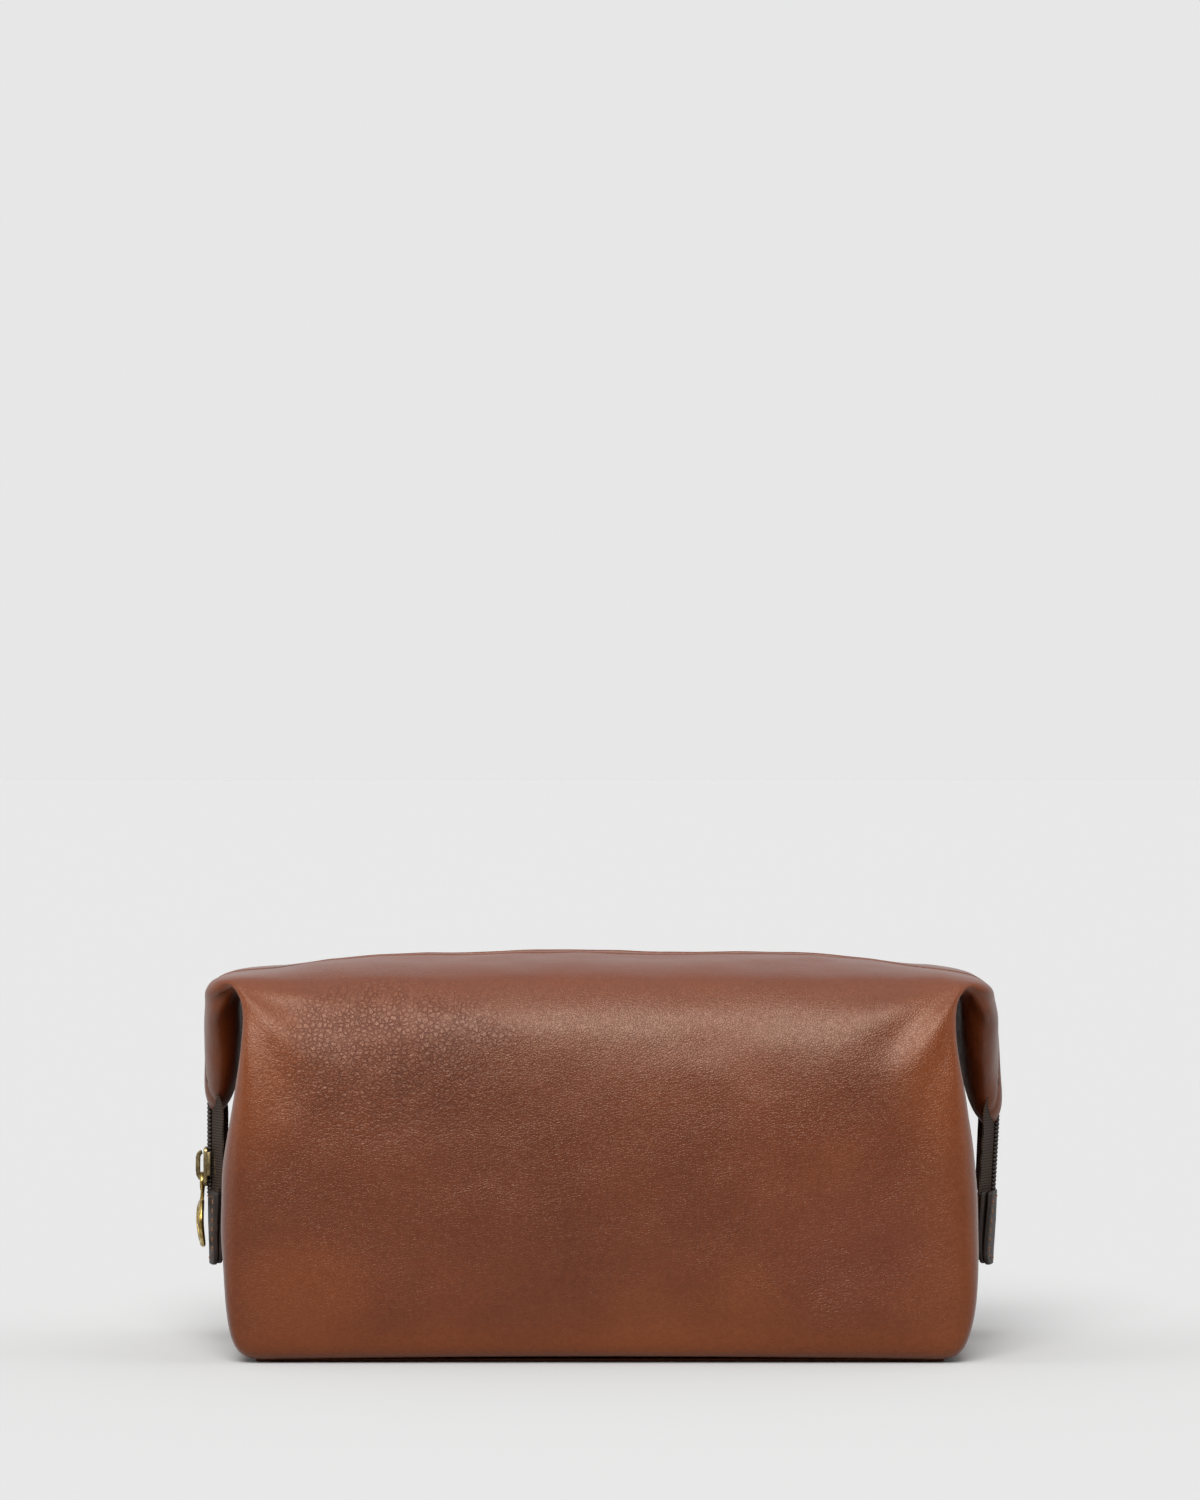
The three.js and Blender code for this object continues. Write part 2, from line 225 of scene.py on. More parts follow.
# The front-face patches: mottling, with painted shade in the middle and painted light at the lower left.
for centre, size, weight, colour in hide["mottleAndPaintedLight"]:
    layers.append(
        (
            addNode(tree, "Math", {0: patch(tree, coords, centre, size), 1: weight}, operation="MULTIPLY"),
            colour
        )
    )

# Slack places: one large patch on the left shoulder, small ones by chance.
spread = addNode(tree, "TexNoise", {"Vector": coords, "Scale": per(60), "Detail": 1, "Roughness": 0.4})
chance = addNode(
    tree, "MapRange", {"Value": spread, "From Min": 0.64, "From Max": 0.78, "To Max": 0.4},
    interpolation_type="SMOOTHSTEP")
slack = addNode(
    tree, "Math", {0: patch(tree, coords, *hide["slack"]), 1: chance}, operation="ADD", use_clamp=True)
drift = addNode(tree, "TexNoise", {"Vector": coords, "Scale": per(2.2), "Detail": 2}).outputs["Color"]
driftStep = addNode(tree, "VectorMath", {0: drift, "Scale": 1.5 * mm}, operation="SCALE")
bent = addNode(tree, "VectorMath", {0: coords, 1: driftStep}, operation="ADD")
pebbles = addNode(
    tree, "TexVoronoi", {"Vector": bent, "Scale": per(hide["pebble"])}, feature="DISTANCE_TO_EDGE"
)
crease = addNode(tree, "MapRange", {"Value": pebbles, "From Max": 0.17}, interpolation_type="SMOOTHSTEP")
gaps = addNode(tree, "TexNoise", {"Vector": coords, "Scale": per(8), "Detail": 2, "Roughness": 0.5})
broken = addNode(
    tree, "MapRange", {"Value": gaps, "From Min": 0.3, "From Max": 0.62, "To Min": 0.35},
    interpolation_type="SMOOTHSTEP")
creaseLine = addNode(tree, "Math", {0: 1.0, 1: crease}, operation="SUBTRACT")
slackLine = addNode(tree, "Math", {0: slack, 1: broken}, operation="MULTIPLY")
creaseDepth = addNode(tree, "Math", {0: creaseLine, 1: slackLine}, operation="MULTIPLY")
pores = addNode(
    tree, "TexVoronoi", {"Vector": bent, "Scale": per(hide["pore"])}, feature="DISTANCE_TO_EDGE"
)
fine = addNode(tree, "MapRange", {"Value": pores, "From Max": 0.25}, interpolation_type="SMOOTHSTEP")
poreLine = addNode(tree, "Math", {0: 1.0, 1: fine}, operation="SUBTRACT")
# Darker in the pebble creases and along the pore edges: painted shade in these hollows.
layers.append((addNode(tree, "Math", {0: creaseDepth, 1: 0.4}, operation="MULTIPLY"), "#36130A"))
layers.append((addNode(tree, "Math", {0: poreLine, 1: 0.1}, operation="MULTIPLY"), "#45190E"))
speck = addNode(tree, "TexNoise", {"Vector": coords, "Scale": per(1.6), "Detail": 4, "Roughness": 0.7})
layers.append((0.12, addNode(tree, "ValToRGB", {"Fac": speck}, stops=[(0.3, "#55220F"), (0.7, "#9A5630")])))
for share, colour in layers:
    tone = addNode(tree, "Mix", {0: share, 6: tone, 7: colour}, data_type="RGBA")
foldNoise = addNode(
    tree, "TexNoise", {"Vector": coords, "Scale": per(hide["fold"]), "Detail": 3, "Roughness": 0.5}
)
skinNoise = addNode(
    tree, "TexNoise", {"Vector": coords, "Scale": per(hide["skin"]), "Detail": 3, "Roughness": 0.6}
)
flat = addNode(tree, "Math", {0: 1.0, 1: creaseDepth}, operation="SUBTRACT")
relief = None
for surface, depth, strength in (
    (foldNoise, 0.9, 0.22), (flat, 0.42, 0.6), (fine, 0.16, 0.35), (skinNoise, 0.1, 0.3)
):
    under = {"Normal": relief} if relief else {}
    relief = addNode(
        tree, "Bump", {"Height": surface, "Strength": strength, "Distance": depth * mm, **under})
satin = addNode(tree, "MapRange", {
    "Value": cloud, "From Min": 0.3, "From Max": 0.7, "To Min": hide["gloss"][0], "To Max": hide["gloss"][1]})
dull = addNode(tree, "Math", {0: creaseDepth, 1: 0.18}, operation="MULTIPLY")
setInputs(tree, shader, {
    "Base Color": tone, "Normal": relief,
    "Roughness": addNode(tree, "Math", {0: satin, 1: dull}, operation="ADD"),
    "IOR": 1.49, "Specular Tint": "#FFDAC0", "Coat Weight": 0.1, "Coat Roughness": 0.36, "Coat IOR": 1.45})

plain = {}

# Bridle leather, curried with grease and dyed almost black: smooth and dull, with long fibre
# marks and small scuffs that catch the light.
made, tree, shader = newMaterial("bridleLeather")
coords = addNode(tree, "TexCoord").outputs["Object"]
stretched = addNode(tree, "VectorMath", {0: coords, 1: (1, 1, 0.35)}, operation="MULTIPLY")
fibre = addNode(tree, "TexNoise", {"Vector": stretched, "Scale": per(1.1), "Detail": 5, "Roughness": 0.65})
scuffNoise = addNode(tree, "TexNoise", {"Vector": coords, "Scale": per(6), "Detail": 4, "Roughness": 0.7})
scuff = addNode(
    tree, "MapRange", {"Value": scuffNoise, "From Min": 0.56, "From Max": 0.72},
    interpolation_type="SMOOTHSTEP")
dye = addNode(
    tree, "ValToRGB", {"Fac": fibre}, stops=[(0.3, "#140C08"), (0.55, "#1F140E"), (0.78, "#302016")]
)
scuffShare = addNode(tree, "Math", {0: scuff, 1: 0.4}, operation="MULTIPLY")
waves = addNode(tree, "TexNoise", {"Vector": coords, "Scale": per(4), "Detail": 3, "Roughness": 0.5})
waveRelief = addNode(tree, "Bump", {"Height": waves, "Strength": 0.3, "Distance": 0.3 * mm})
setInputs(tree, shader, {
    "Base Color": addNode(tree, "Mix", {0: scuffShare, 6: dye, 7: "#45342A"}, data_type="RGBA"),
    "Roughness": addNode(tree, "MapRange", {
        "Value": fibre, "From Min": 0.3, "From Max": 0.7, "To Min": 0.5, "To Max": 0.66}),
    "Normal": addNode(
        tree, "Bump", {"Height": fibre, "Strength": 0.6, "Distance": 0.14 * mm, "Normal": waveRelief}
    ),
    "IOR": 1.38})
plain["bridleLeather"] = made

# Cotton twill, woven from khaki yarn and piece dyed: a soft matt cloth whose fine diagonal
# ribs and slightly uneven yarns read as woven only from close by. The ribs are 0.9 mm apart,
# about twice as coarse as the real weave, to show.
made, tree, shader = newMaterial("cottonTwill")
coords = addNode(tree, "TexCoord").outputs["Object"]
ribs = addNode(
    tree, "TexWave", {"Vector": coords, "Scale": per(0.9) * waveTurn, "Distortion": 0.8, "Detail": 2},
    wave_type="BANDS", bands_direction="DIAGONAL")
yarn = addNode(tree, "TexNoise", {"Vector": coords, "Scale": per(0.6), "Detail": 3, "Roughness": 0.6})
ribShare = addNode(tree, "Math", {0: ribs, 1: 0.6}, operation="MULTIPLY")
yarnShare = addNode(tree, "Math", {0: yarn, 1: 0.4}, operation="MULTIPLY")
clothMix = addNode(tree, "Math", {0: ribShare, 1: yarnShare}, operation="ADD")
cloth = addNode(
    tree, "ValToRGB", {"Fac": clothMix}, stops=[(0.2, "#5B4A34"), (0.5, "#7A6749"), (0.85, "#93805F")]
)
fadeNoise = addNode(tree, "TexNoise", {"Vector": coords, "Scale": per(40), "Detail": 3, "Roughness": 0.5})
fade = addNode(
    tree, "MapRange", {"Value": fadeNoise, "From Min": 0.35, "From Max": 0.7, "To Max": 0.3},
    interpolation_type="SMOOTHSTEP")
yarnRelief = addNode(tree, "Bump", {"Height": yarn, "Strength": 0.4, "Distance": 0.1 * mm})
setInputs(tree, shader, {
    "Base Color": addNode(tree, "Mix", {0: fade, 6: cloth, 7: "#64523A"}, data_type="RGBA"),
    "Normal": addNode(
        tree, "Bump", {"Height": ribs, "Strength": 0.6, "Distance": 0.16 * mm, "Normal": yarnRelief}
    ),
    "Roughness": 0.88, "Sheen Weight": 0.25, "Sheen Roughness": 0.5})
plain["cottonTwill"] = made

# Polyester zip tape, knitted in narrow ribs and dyed dark brown: dull, with paler yarn tops and
# near black hollows, which are painted light and painted shade on the knit. The ribs are 1 mm
# apart, a little coarser than the real knit, to show.
made, tree, shader = newMaterial("polyesterTape")
coords = addNode(tree, "TexCoord").outputs["Object"]
threads = [
    addNode(
        tree, "TexWave",
        {
            "Vector": coords, "Scale": per(1.0) * waveTurn, "Distortion": 0.6, "Detail": 2,
            "Detail Scale": 2.0
        },
        wave_type="BANDS", bands_direction=axis)
    for axis in ("Y", "Z")]
crossed = addNode(tree, "Math", {0: threads[0], 1: threads[1]}, operation="ADD")
knit = addNode(tree, "Math", {0: crossed, 1: 0.5}, operation="MULTIPLY")
fuzz = addNode(tree, "TexNoise", {"Vector": coords, "Scale": per(0.5), "Detail": 4, "Roughness": 0.7})
knitShare = addNode(tree, "Math", {0: knit, 1: 0.7}, operation="MULTIPLY")
fuzzShare = addNode(tree, "Math", {0: fuzz, 1: 0.3}, operation="MULTIPLY")
tapeMix = addNode(tree, "Math", {0: knitShare, 1: fuzzShare}, operation="ADD")
# The knit's tops are painted lighter and its hollows near black: painted light and shade.
setInputs(tree, shader, {
    "Base Color": addNode(
        tree, "ValToRGB", {"Fac": tapeMix}, stops=[(0.25, "#0E0906"), (0.5, "#251810"), (0.8, "#463424")]),
    "Roughness": addNode(tree, "MapRange", {
        "Value": fuzz, "From Min": 0.3, "From Max": 0.7, "To Min": 0.72, "To Max": 0.9}),
    "Normal": addNode(tree, "Bump", {"Height": knit, "Strength": 0.9, "Distance": 0.3 * mm}),
    "IOR": 1.35})
plain["zipTape"] = made

# Nylon monofilament, coiled, heat set and dyed: hard turns with a low waxy gloss, worn paler on
# the crowns and dusty between.
made, tree, shader = newMaterial("nylonMonofilament")
coords = addNode(tree, "TexCoord").outputs["Object"]
streak = addNode(tree, "TexNoise", {"Vector": coords, "Scale": per(0.8), "Detail": 3, "Roughness": 0.6})
setInputs(tree, shader, {
    "Base Color": addNode(
        tree, "ValToRGB", {"Fac": streak}, stops=[(0.3, "#120B07"), (0.55, "#22170F"), (0.75, "#382818")]),
    "Roughness": addNode(tree, "MapRange", {
        "Value": streak, "From Min": 0.3, "From Max": 0.7, "To Min": 0.5, "To Max": 0.66}),
    "Normal": addNode(tree, "Bump", {"Height": streak, "Strength": 0.5, "Distance": 0.05 * mm}),
    "IOR": 1.53})
plain["nylonCoil"] = made

# Waxed polyester thread, three strands twisted and bonded: short stitches with a slanting twist
# line, a little gloss from the wax and paler worn tops; dark on the body, tan on the tabs.
threadShades = {
    "waxedThread": ("#120A07", "#25160F", "#43291A"), "tanThread": ("#4A2710", "#7E4A20", "#A96E38")
}
for name, shades in threadShades.items():
    made, tree, shader = newMaterial(name)
    coords = addNode(tree, "TexCoord").outputs["Object"]
    twist = addNode(
        tree, "TexWave", {"Vector": coords, "Scale": per(0.5) * waveTurn, "Distortion": 0.5, "Detail": 1},
        wave_type="BANDS", bands_direction="DIAGONAL")
    fluff = addNode(tree, "TexNoise", {"Vector": coords, "Scale": per(0.4), "Detail": 3, "Roughness": 0.6})
    twistShare = addNode(tree, "Math", {0: twist, 1: 0.6}, operation="MULTIPLY")
    fluffShare = addNode(tree, "Math", {0: fluff, 1: 0.4}, operation="MULTIPLY")
    threadMix = addNode(tree, "Math", {0: twistShare, 1: fluffShare}, operation="ADD")
    setInputs(tree, shader, {
        "Base Color": addNode(
            tree, "ValToRGB", {"Fac": threadMix}, stops=list(zip((0.2, 0.5, 0.85), shades))
        ),
        "Roughness": addNode(tree, "MapRange", {
            "Value": fluff, "From Min": 0.3, "From Max": 0.7, "To Min": 0.5, "To Max": 0.7}),
        "Normal": addNode(tree, "Bump", {"Height": twist, "Strength": 0.7, "Distance": 0.08 * mm})})
    plain[name] = made

# Brass, die cast, plated and rubbed back by hand (the slider darker, the ring brighter): warm
# metal with dull brown patina in patches and fine scratches over the worn faces.
brassShades = {
    "antiqueBrass": (("#3B3122", "#77694A", "#A3946C"), (0.3, 0.52)),
    "wornBrass": (("#5B4A27", "#A38A4C", "#D6C38E"), (0.18, 0.38)),
}
for name, (shades, rough) in brassShades.items():
    made, tree, shader = newMaterial(name)
    coords = addNode(tree, "TexCoord").outputs["Object"]
    patina = addNode(tree, "TexNoise", {
        "Vector": coords, "Scale": per(3.2), "Detail": 5, "Roughness": 0.65, "Distortion": 0.4})
    combed = addNode(tree, "VectorMath", {0: coords, 1: (1, 1, 0.12)}, operation="MULTIPLY")
    scratch = addNode(
        tree, "TexNoise", {"Vector": combed, "Scale": per(0.35), "Detail": 4, "Roughness": 0.7}
    )
    metal = addNode(tree, "ValToRGB", {"Fac": patina}, stops=list(zip((0.34, 0.52, 0.7), shades)))
    worn = addNode(
        tree, "MapRange", {"Value": scratch, "From Min": 0.55, "From Max": 0.75, "To Max": 0.35},
        interpolation_type="SMOOTHSTEP")
    patinaShare = addNode(tree, "Math", {0: patina, 1: 0.7}, operation="MULTIPLY")
    scratchShare = addNode(tree, "Math", {0: scratch, 1: 0.3}, operation="MULTIPLY")
    wear = addNode(tree, "Math", {0: patinaShare, 1: scratchShare}, operation="ADD")
    patinaRelief = addNode(tree, "Bump", {"Height": patina, "Strength": 0.2, "Distance": 0.04 * mm})
    setInputs(tree, shader, {
        "Base Color": addNode(tree, "Mix", {0: worn, 6: metal, 7: shades[2]}, data_type="RGBA"),
        "Roughness": addNode(tree, "MapRange", {
            "Value": wear, "From Min": 0.35, "From Max": 0.65, "To Min": rough[1], "To Max": rough[0]}),
        "Normal": addNode(tree, "Bump", {
            "Height": scratch, "Strength": 0.4, "Distance": 0.02 * mm, "Normal": patinaRelief}),
        "Metallic": 1})
    plain[name] = made

# Grey board, pressed from pulped paper: a flat dull sheet with darker flecks and a fibrous
# surface; it stiffens the base under the lining.
greyBoard, tree, shader = newMaterial("greyBoard")
coords = addNode(tree, "TexCoord").outputs["Object"]
pulp = addNode(tree, "TexNoise", {"Vector": coords, "Scale": per(1.4), "Detail": 5, "Roughness": 0.7})
fleckNoise = addNode(tree, "TexNoise", {"Vector": coords, "Scale": per(0.8), "Detail": 2, "Roughness": 0.5})
fleck = addNode(
    tree, "MapRange", {"Value": fleckNoise, "From Min": 0.62, "From Max": 0.7, "To Max": 0.6},
    interpolation_type="SMOOTHSTEP")
grey = addNode(tree, "ValToRGB", {"Fac": pulp}, stops=[(0.3, "#6F675A"), (0.7, "#958C7C")])
setInputs(tree, shader, {
    "Base Color": addNode(tree, "Mix", {0: fleck, 6: grey, 7: "#4C463C"}, data_type="RGBA"),
    "Roughness": addNode(tree, "MapRange", {
        "Value": pulp, "From Min": 0.3, "From Max": 0.7, "To Min": 0.82, "To Max": 0.95}),
    "Normal": addNode(tree, "Bump", {"Height": pulp, "Strength": 0.6, "Distance": 0.1 * mm})})
bpy.data.objects["base_stiffener"].data.materials[0] = greyBoard
print("materials done")

# The leather body.

# One sheet runs round the bag: up each wall and over the shoulder to the zip. Past the ends the
# mouth folds down over the end walls, as on a carton: end wall, gusset and outer layer.
body = dict(
    halfLength=[
        (0, 128.2), (14, 131.6), (35, 133.6), (62, 133.5), (90, 130.2), (106, 127.4), (117, 126.4),
        (126, 127), (134, 128)
    ],
    walls=[
        (0.9, 14, 65), (0.7, 5, 65), (3.8, 0.9, 65), (13, 0, 65.3), (30, 0, 65.6), (50, 0, 65.8),
        (70, 0, 65.6), (87, 0, 65), (101, 0, 64), (113, 0, 62), (124, 0, 58)
    ],
    topY=[50, 45.5, 38, 28, 17.5, 10.2, 5.3],
    topZ=[133.4, 135.8, 138.3, 140.3, 141.6, 142.3, 142.5],
    across=[0, 18, 36, 54, 72, 88, 100, 110, 119],
    leather=1.6,
)
ears = {
    -1: dict(
        along=[0, 5, 13, 24, 36, 46], outer=141.3, flare=0.02, mid=135.4,
        inner=[(84, 132.2), (92, 131.3), (104, 129.2), (130, 128.4)], top=134.6, tip=15, end=(136.5, 80)
    ),
    1: dict(
        along=[0, 5, 13, 24, 36, 50], outer=141.0, flare=0.085, mid=135.6,
        inner=[(80, 132.4), (90, 131.5), (104, 129.2), (130, 128.4)], top=133.4, tip=14, end=(138, 76)
    ),
}
wallCount = len(body["walls"])
topCount = len(body["topY"])


def roundness(z):
    # How large the upright corner's radius is, in mm.
    return 6.5 + 5 * ease(18, 50, z) * (1 - ease(84, 112, z))


def cornerPoint(side, k, row):
    # k counts columns from the vertical corner round to the middle of the end wall.
    ear = ears[side]
    along = ear["along"] + [56]
    share = along[k] / 56
    if row < wallCount:
        z, inset, depth = body["walls"][row]
        half = between(body["halfLength"], z) - inset
        depth = depth - inset
        sink = 4.5 * ease(62, 120, z)
        if k == 0:
            return half - 0.185 * roundness(z), depth - 0.185 * roundness(z), z
        if k == 1:
            return half - sink * 0.35, depth - roundness(z), z
        return half - sink * (0.5 if k == 2 else 1), (depth - 2) * (1 - share), z
    m = row - wallCount
    y0 = body["topY"][0]
    if k == 0 and m == 0:
        return 131, y0 + 1.6, ear["top"] - 0.6
    if k == 0:
        return 136.9, body["topY"][m], ear["top"] + 0.3
    foldY = y0 - (y0 - ear["tip"]) * along[k] / along[5]
    b = ear["along"][m] if m < 6 else 56
    if m == 0:
        return 125.6, y0 * (1 - share), ear["top"] - 3.2
    if k == 6:
        z = ear["top"] - b
        return (ear["end"][0], 0, ear["end"][1]) if m == 6 else (between(ear["inner"], z), 0, z)
    if m < k:
        return between(ear["inner"], ear["top"] - b), foldY * 0.98, ear["top"] - b
    if m == k:
        return ear["mid"] + ear["flare"] * along[k], foldY + 1.8, ear["top"] - along[k] - 1.8
    t = (b - along[k]) / (56 - along[k]) if k < 5 else 1
    y = foldY + (body["topY"][6] - foldY) * t
    return ear["outer"] + ear["flare"] * along[k] - (0.9 if k == 1 else 0), y, ear["top"] - along[k]


def facePoint(side, share, row):
    # share runs from 0 at the bag's middle to 1 near its corner.
    if row < wallCount:
        z, inset, depth = body["walls"][row]
        half = between(body["halfLength"], z)
        x = share * (half - roundness(z)) if inset < 3 else share * (half - inset - 4)
        arch = 1.2 * (1 - share ** 2) if z < 1 else 0
        belly = 1.0 * (1 - share ** 2) * ease(0, 40, z) * (1 - ease(70, 120, z))
        return x, depth - inset + belly, z + arch
    m = row - wallCount
    x = share * 122
    drop = 2.7 * (x / 98) ** 2 if x < 98 else 2.7 + (x - 98) * 0.06
    flat = ease(95, 125, x)
    z = body["topZ"][m] - drop * (0.25 + 0.75 * m / 6)
    return x, body["topY"][m], z + (136.2 - z) * flat * (m / 6) ** 0.5


columns = []
across = [a / body["across"][-1] * 0.965 for a in body["across"]] + [1.0]
for side, depth in ((-1, -1), (-1, 1), (1, 1), (1, -1)):
    face = [("face", side, depth, s) for s in across]
    corner = [("corner", side, depth, k) for k in range(7)]
    quarter = face + corner
    if (side, depth) in ((-1, 1), (1, -1)):
        quarter = quarter[::-1]
    # the middle of a face or an end wall is shared by two quarters
    columns += quarter if not columns else quarter[1:]
columns.pop()

points = []
rowCount = wallCount + topCount
for kind, side, depth, at in columns:
    for row in range(rowCount):
        x, y, z = (facePoint if kind == "face" else cornerPoint)(side, at, row)
        points.append((side * x * mm, depth * y * mm, z * mm))
faces = []
count = len(columns)
for c in range(count):
    n = (c + 1) % count
    for r in range(rowCount - 1):
        faces.append((c * rowCount + r, n * rowCount + r, n * rowCount + r + 1, c * rowCount + r + 1))
shellPiece = meshPiece("bagLeather", points, faces, leather)
bm = bmesh.new()
bm.from_mesh(shellPiece.data)
bmesh.ops.remove_doubles(bm, verts=bm.verts, dist=1e-6)
bmesh.ops.recalc_face_normals(bm, faces=bm.faces)
low = min(bm.faces, key=lambda f: f.calc_center_median().y)
if low.normal.y > 0:
    bmesh.ops.reverse_faces(bm, faces=bm.faces)
bm.to_mesh(shellPiece.data)
bm.free()
applyModifier(shellPiece, "SUBSURF", levels=3, render_levels=3)

# Filled and handled leather is never flat: slow hollows all over, short pulls fanning down from
# the folded top corners, and a groove where the topstitching draws the hem down.
softness = dict(hollow=0.9, pull=0.55, groove=0.55, hem=0.22)
shellPiece.data.update()
normals = [v.normal.copy() for v in shellPiece.data.vertices]
for vertex, normal in zip(shellPiece.data.vertices, normals):
    x, y, z = vertex.co / mm
    seed = Vector((x, y, z))
    move = softness["hollow"] * noise.noise(seed / 46 + Vector((3, 7, 1))) * ease(4, 25, z)
    move += 0.3 * noise.noise(seed / 14 + Vector((9, 2, 5))) * ease(4, 25, z)
    fromCorner = Vector((abs(x) - 126, abs(y) - 60, (z - 130) * 0.8))
    reach = math.exp(-((fromCorner.length - 22) / 16) ** 2)
    angle = math.atan2(z - 132, abs(x) - 128)
    move += softness["pull"] * reach * math.sin(angle * 9 + x * 0.02) * (1 - ease(126, 133, z))
    if z > 125 or abs(x) > 137:
        fromEdge = abs(y) - body["topY"][-1]
        move -= softness["groove"] * math.exp(-((fromEdge - 3.9) / 1.2) ** 2)
        move += softness["hem"] * (1 - ease(2.6, 4.4, fromEdge))
    vertex.co += normal * move * mm
applyModifier(shellPiece, "SOLIDIFY", thickness=body["leather"] * mm, offset=-1)


def lipWeight(point):
    # How far a point follows a lip of the mouth: most at the middle of the zip, none at its ends.
    x, y, z = (c / mm for c in point)
    rise = ease(0, 1, ((abs(y) - 57) * -13 + (z - 127) * 9) / 250)
    return rise * (1 - ease(20, 99, abs(x)))


def earWeight(point):
    # How far a point follows a folded-down end of the mouth.
    x, y, z = (c / mm for c in point)
    if z < 73:
        return 1.0 if abs(x) > 134.9 else 0.0
    edge = between(
        [(73, 134.2), (80, 132.6), (90, 130.2), (100, 128), (112, 126.4), (124, 125), (132, 124)], z
    )
    edge += 2.2 * ease(50, 54, abs(y))
    return ease(edge, edge + between([(110, 1.2), (132, 7)], z), abs(x))


def bend(piece, weigh):
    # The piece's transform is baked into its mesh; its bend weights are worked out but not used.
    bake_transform(piece)
    weights = [weigh(v.co) for v in piece.data.vertices]


def cutOut(whole, name, keep):
    # A piece made of the faces of a whole that are in one region, shaded as the whole is.
    mesh = whole.data
    kept = [p for p in mesh.polygons if keep(p.center / mm)]
    used = sorted({i for p in kept for i in p.vertices})
    place = {old: new for new, old in enumerate(used)}
    points = [mesh.vertices[i].co for i in used]
    faces = [[place[i] for i in p.vertices] for p in kept]
    piece = meshPiece(name, points, faces, mesh.materials[0])
    piece.data.normals_split_custom_set_from_vertices([mesh.vertices[i].normal for i in used])
    return piece


splitAt = 100
regions = {
    "front": lambda c: abs(c.x) < splitAt and c.y < 0,
    "back": lambda c: abs(c.x) < splitAt and c.y > 0,
    "left": lambda c: c.x < -splitAt,
    "right": lambda c: c.x > splitAt,
}
leatherTree = BVHTree.FromObject(shellPiece, bpy.context.evaluated_depsgraph_get())
replaced = {
    "front": ["front_panel", "front_top_panel"],
    "back": ["back_panel", "back_top_panel"],
    "left": ["left_ear_gusset", "left_ear_front", "left_ear_back"],
    "right": ["right_ear_gusset", "right_ear_front", "right_ear_back"],
}
for where, keep in regions.items():
    piece = cutOut(shellPiece, where + "Leather", keep)
    if where in ("front", "back"):
        bend(piece, lipWeight)
    else:
        bend(piece, earWeight)
    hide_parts(*replaced[where])
bpy.data.objects.remove(shellPiece)
print("leather body done")

# Base and lining.

base = dict(halfX=121, halfY=55, corner=9, thick=1.1)
bpy.ops.mesh.primitive_cube_add(
    size=1, location=(0, 0, base["thick"] / 2 * mm),
    scale=(2 * base["halfX"] * mm, 2 * base["halfY"] * mm, base["thick"] * mm)
)
basePiece = bpy.context.object
basePiece.name = "baseLeather"
bpy.ops.object.transform_apply(location=True, rotation=True, scale=True)
bpy.ops.object.mode_set(mode="EDIT")
bpy.ops.mesh.select_all(action="DESELECT")
bm = bmesh.from_edit_mesh(basePiece.data)
for edge in bm.edges:
    edge.select = abs(edge.verts[0].co.z - edge.verts[1].co.z) > 1e-5
bmesh.update_edit_mesh(basePiece.data)
bpy.ops.mesh.bevel(offset=base["corner"] * mm, segments=6)
bpy.ops.mesh.select_all(action="SELECT")
bpy.ops.mesh.bevel(offset=0.35 * mm, segments=2)
bpy.ops.object.mode_set(mode="OBJECT")
bpy.ops.object.shade_smooth_by_angle(angle=0.6)
basePiece.data.materials.append(leather)
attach(basePiece, "bag_body")
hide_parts("base_panel")

# The lining hangs a little inside the leather, closes the ends below the fold, and has its own floor.
lining = dict(x=0.976, y=0.957, z=0.962, floor=5.2)
roof = [132.5, 134.4, 136, 137, 137.6, 137.9]
points = []
liningRows = wallCount - 2 + 6
for kind, side, depth, at in columns:
    for row in range(2, wallCount + 6):
        if kind == "face" or row < wallCount:
            x, y, z = (facePoint if kind == "face" else cornerPoint)(side, at, row)
        else:
            m = row - wallCount
            yEnd = cornerPoint(side, at, wallCount - 1)[1]
            y = min(body["topY"][m], yEnd)
            x = 125.5
            top = between(list(zip(body["topY"][5::-1], roof[::-1])), y)
            z = top if y < yEnd else 124 + (top - 124) * (m + 1) / 6
        z = max(70 + (z - 70) * lining["z"], lining["floor"])
        points.append((side * x * lining["x"] * mm, depth * y * lining["y"] * mm, z * mm))
faces = []
for c in range(count):
    n = (c + 1) % count
    for r in range(liningRows - 1):
        faces.append(
            (c * liningRows + r, n * liningRows + r, n * liningRows + r + 1, c * liningRows + r + 1)
        )
wholeLining = meshPiece("lining", points, faces, plain["cottonTwill"])
bm = bmesh.new()
bm.from_mesh(wholeLining.data)
bmesh.ops.remove_doubles(bm, verts=bm.verts, dist=1e-5)
bmesh.ops.dissolve_degenerate(bm, edges=bm.edges, dist=1e-5)
bmesh.ops.recalc_face_normals(bm, faces=bm.faces)
low = min(bm.faces, key=lambda f: f.calc_center_median().y)
if low.normal.y < 0:
    bmesh.ops.reverse_faces(bm, faces=bm.faces)
bm.to_mesh(wholeLining.data)
bm.free()
applyModifier(wholeLining, "SUBSURF", levels=2, render_levels=2)
for vertex in wholeLining.data.vertices:
    vertex.co += vertex.normal * (0.4 + 0.4 * noise.noise(vertex.co / mm / 9)) * mm
applyModifier(wholeLining, "SOLIDIFY", thickness=0.5 * mm, offset=-1)
linings = {"front": ["front_lining", "front_top_lining"], "back": ["back_lining", "back_top_lining"]}
for where, keep in regions.items():
    piece = cutOut(wholeLining, where + "Lining", keep)
    if where in linings:
        bend(piece, lipWeight)
        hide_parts(*linings[where])
    else:
        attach(piece, "bag_body")
bpy.data.objects.remove(wholeLining)

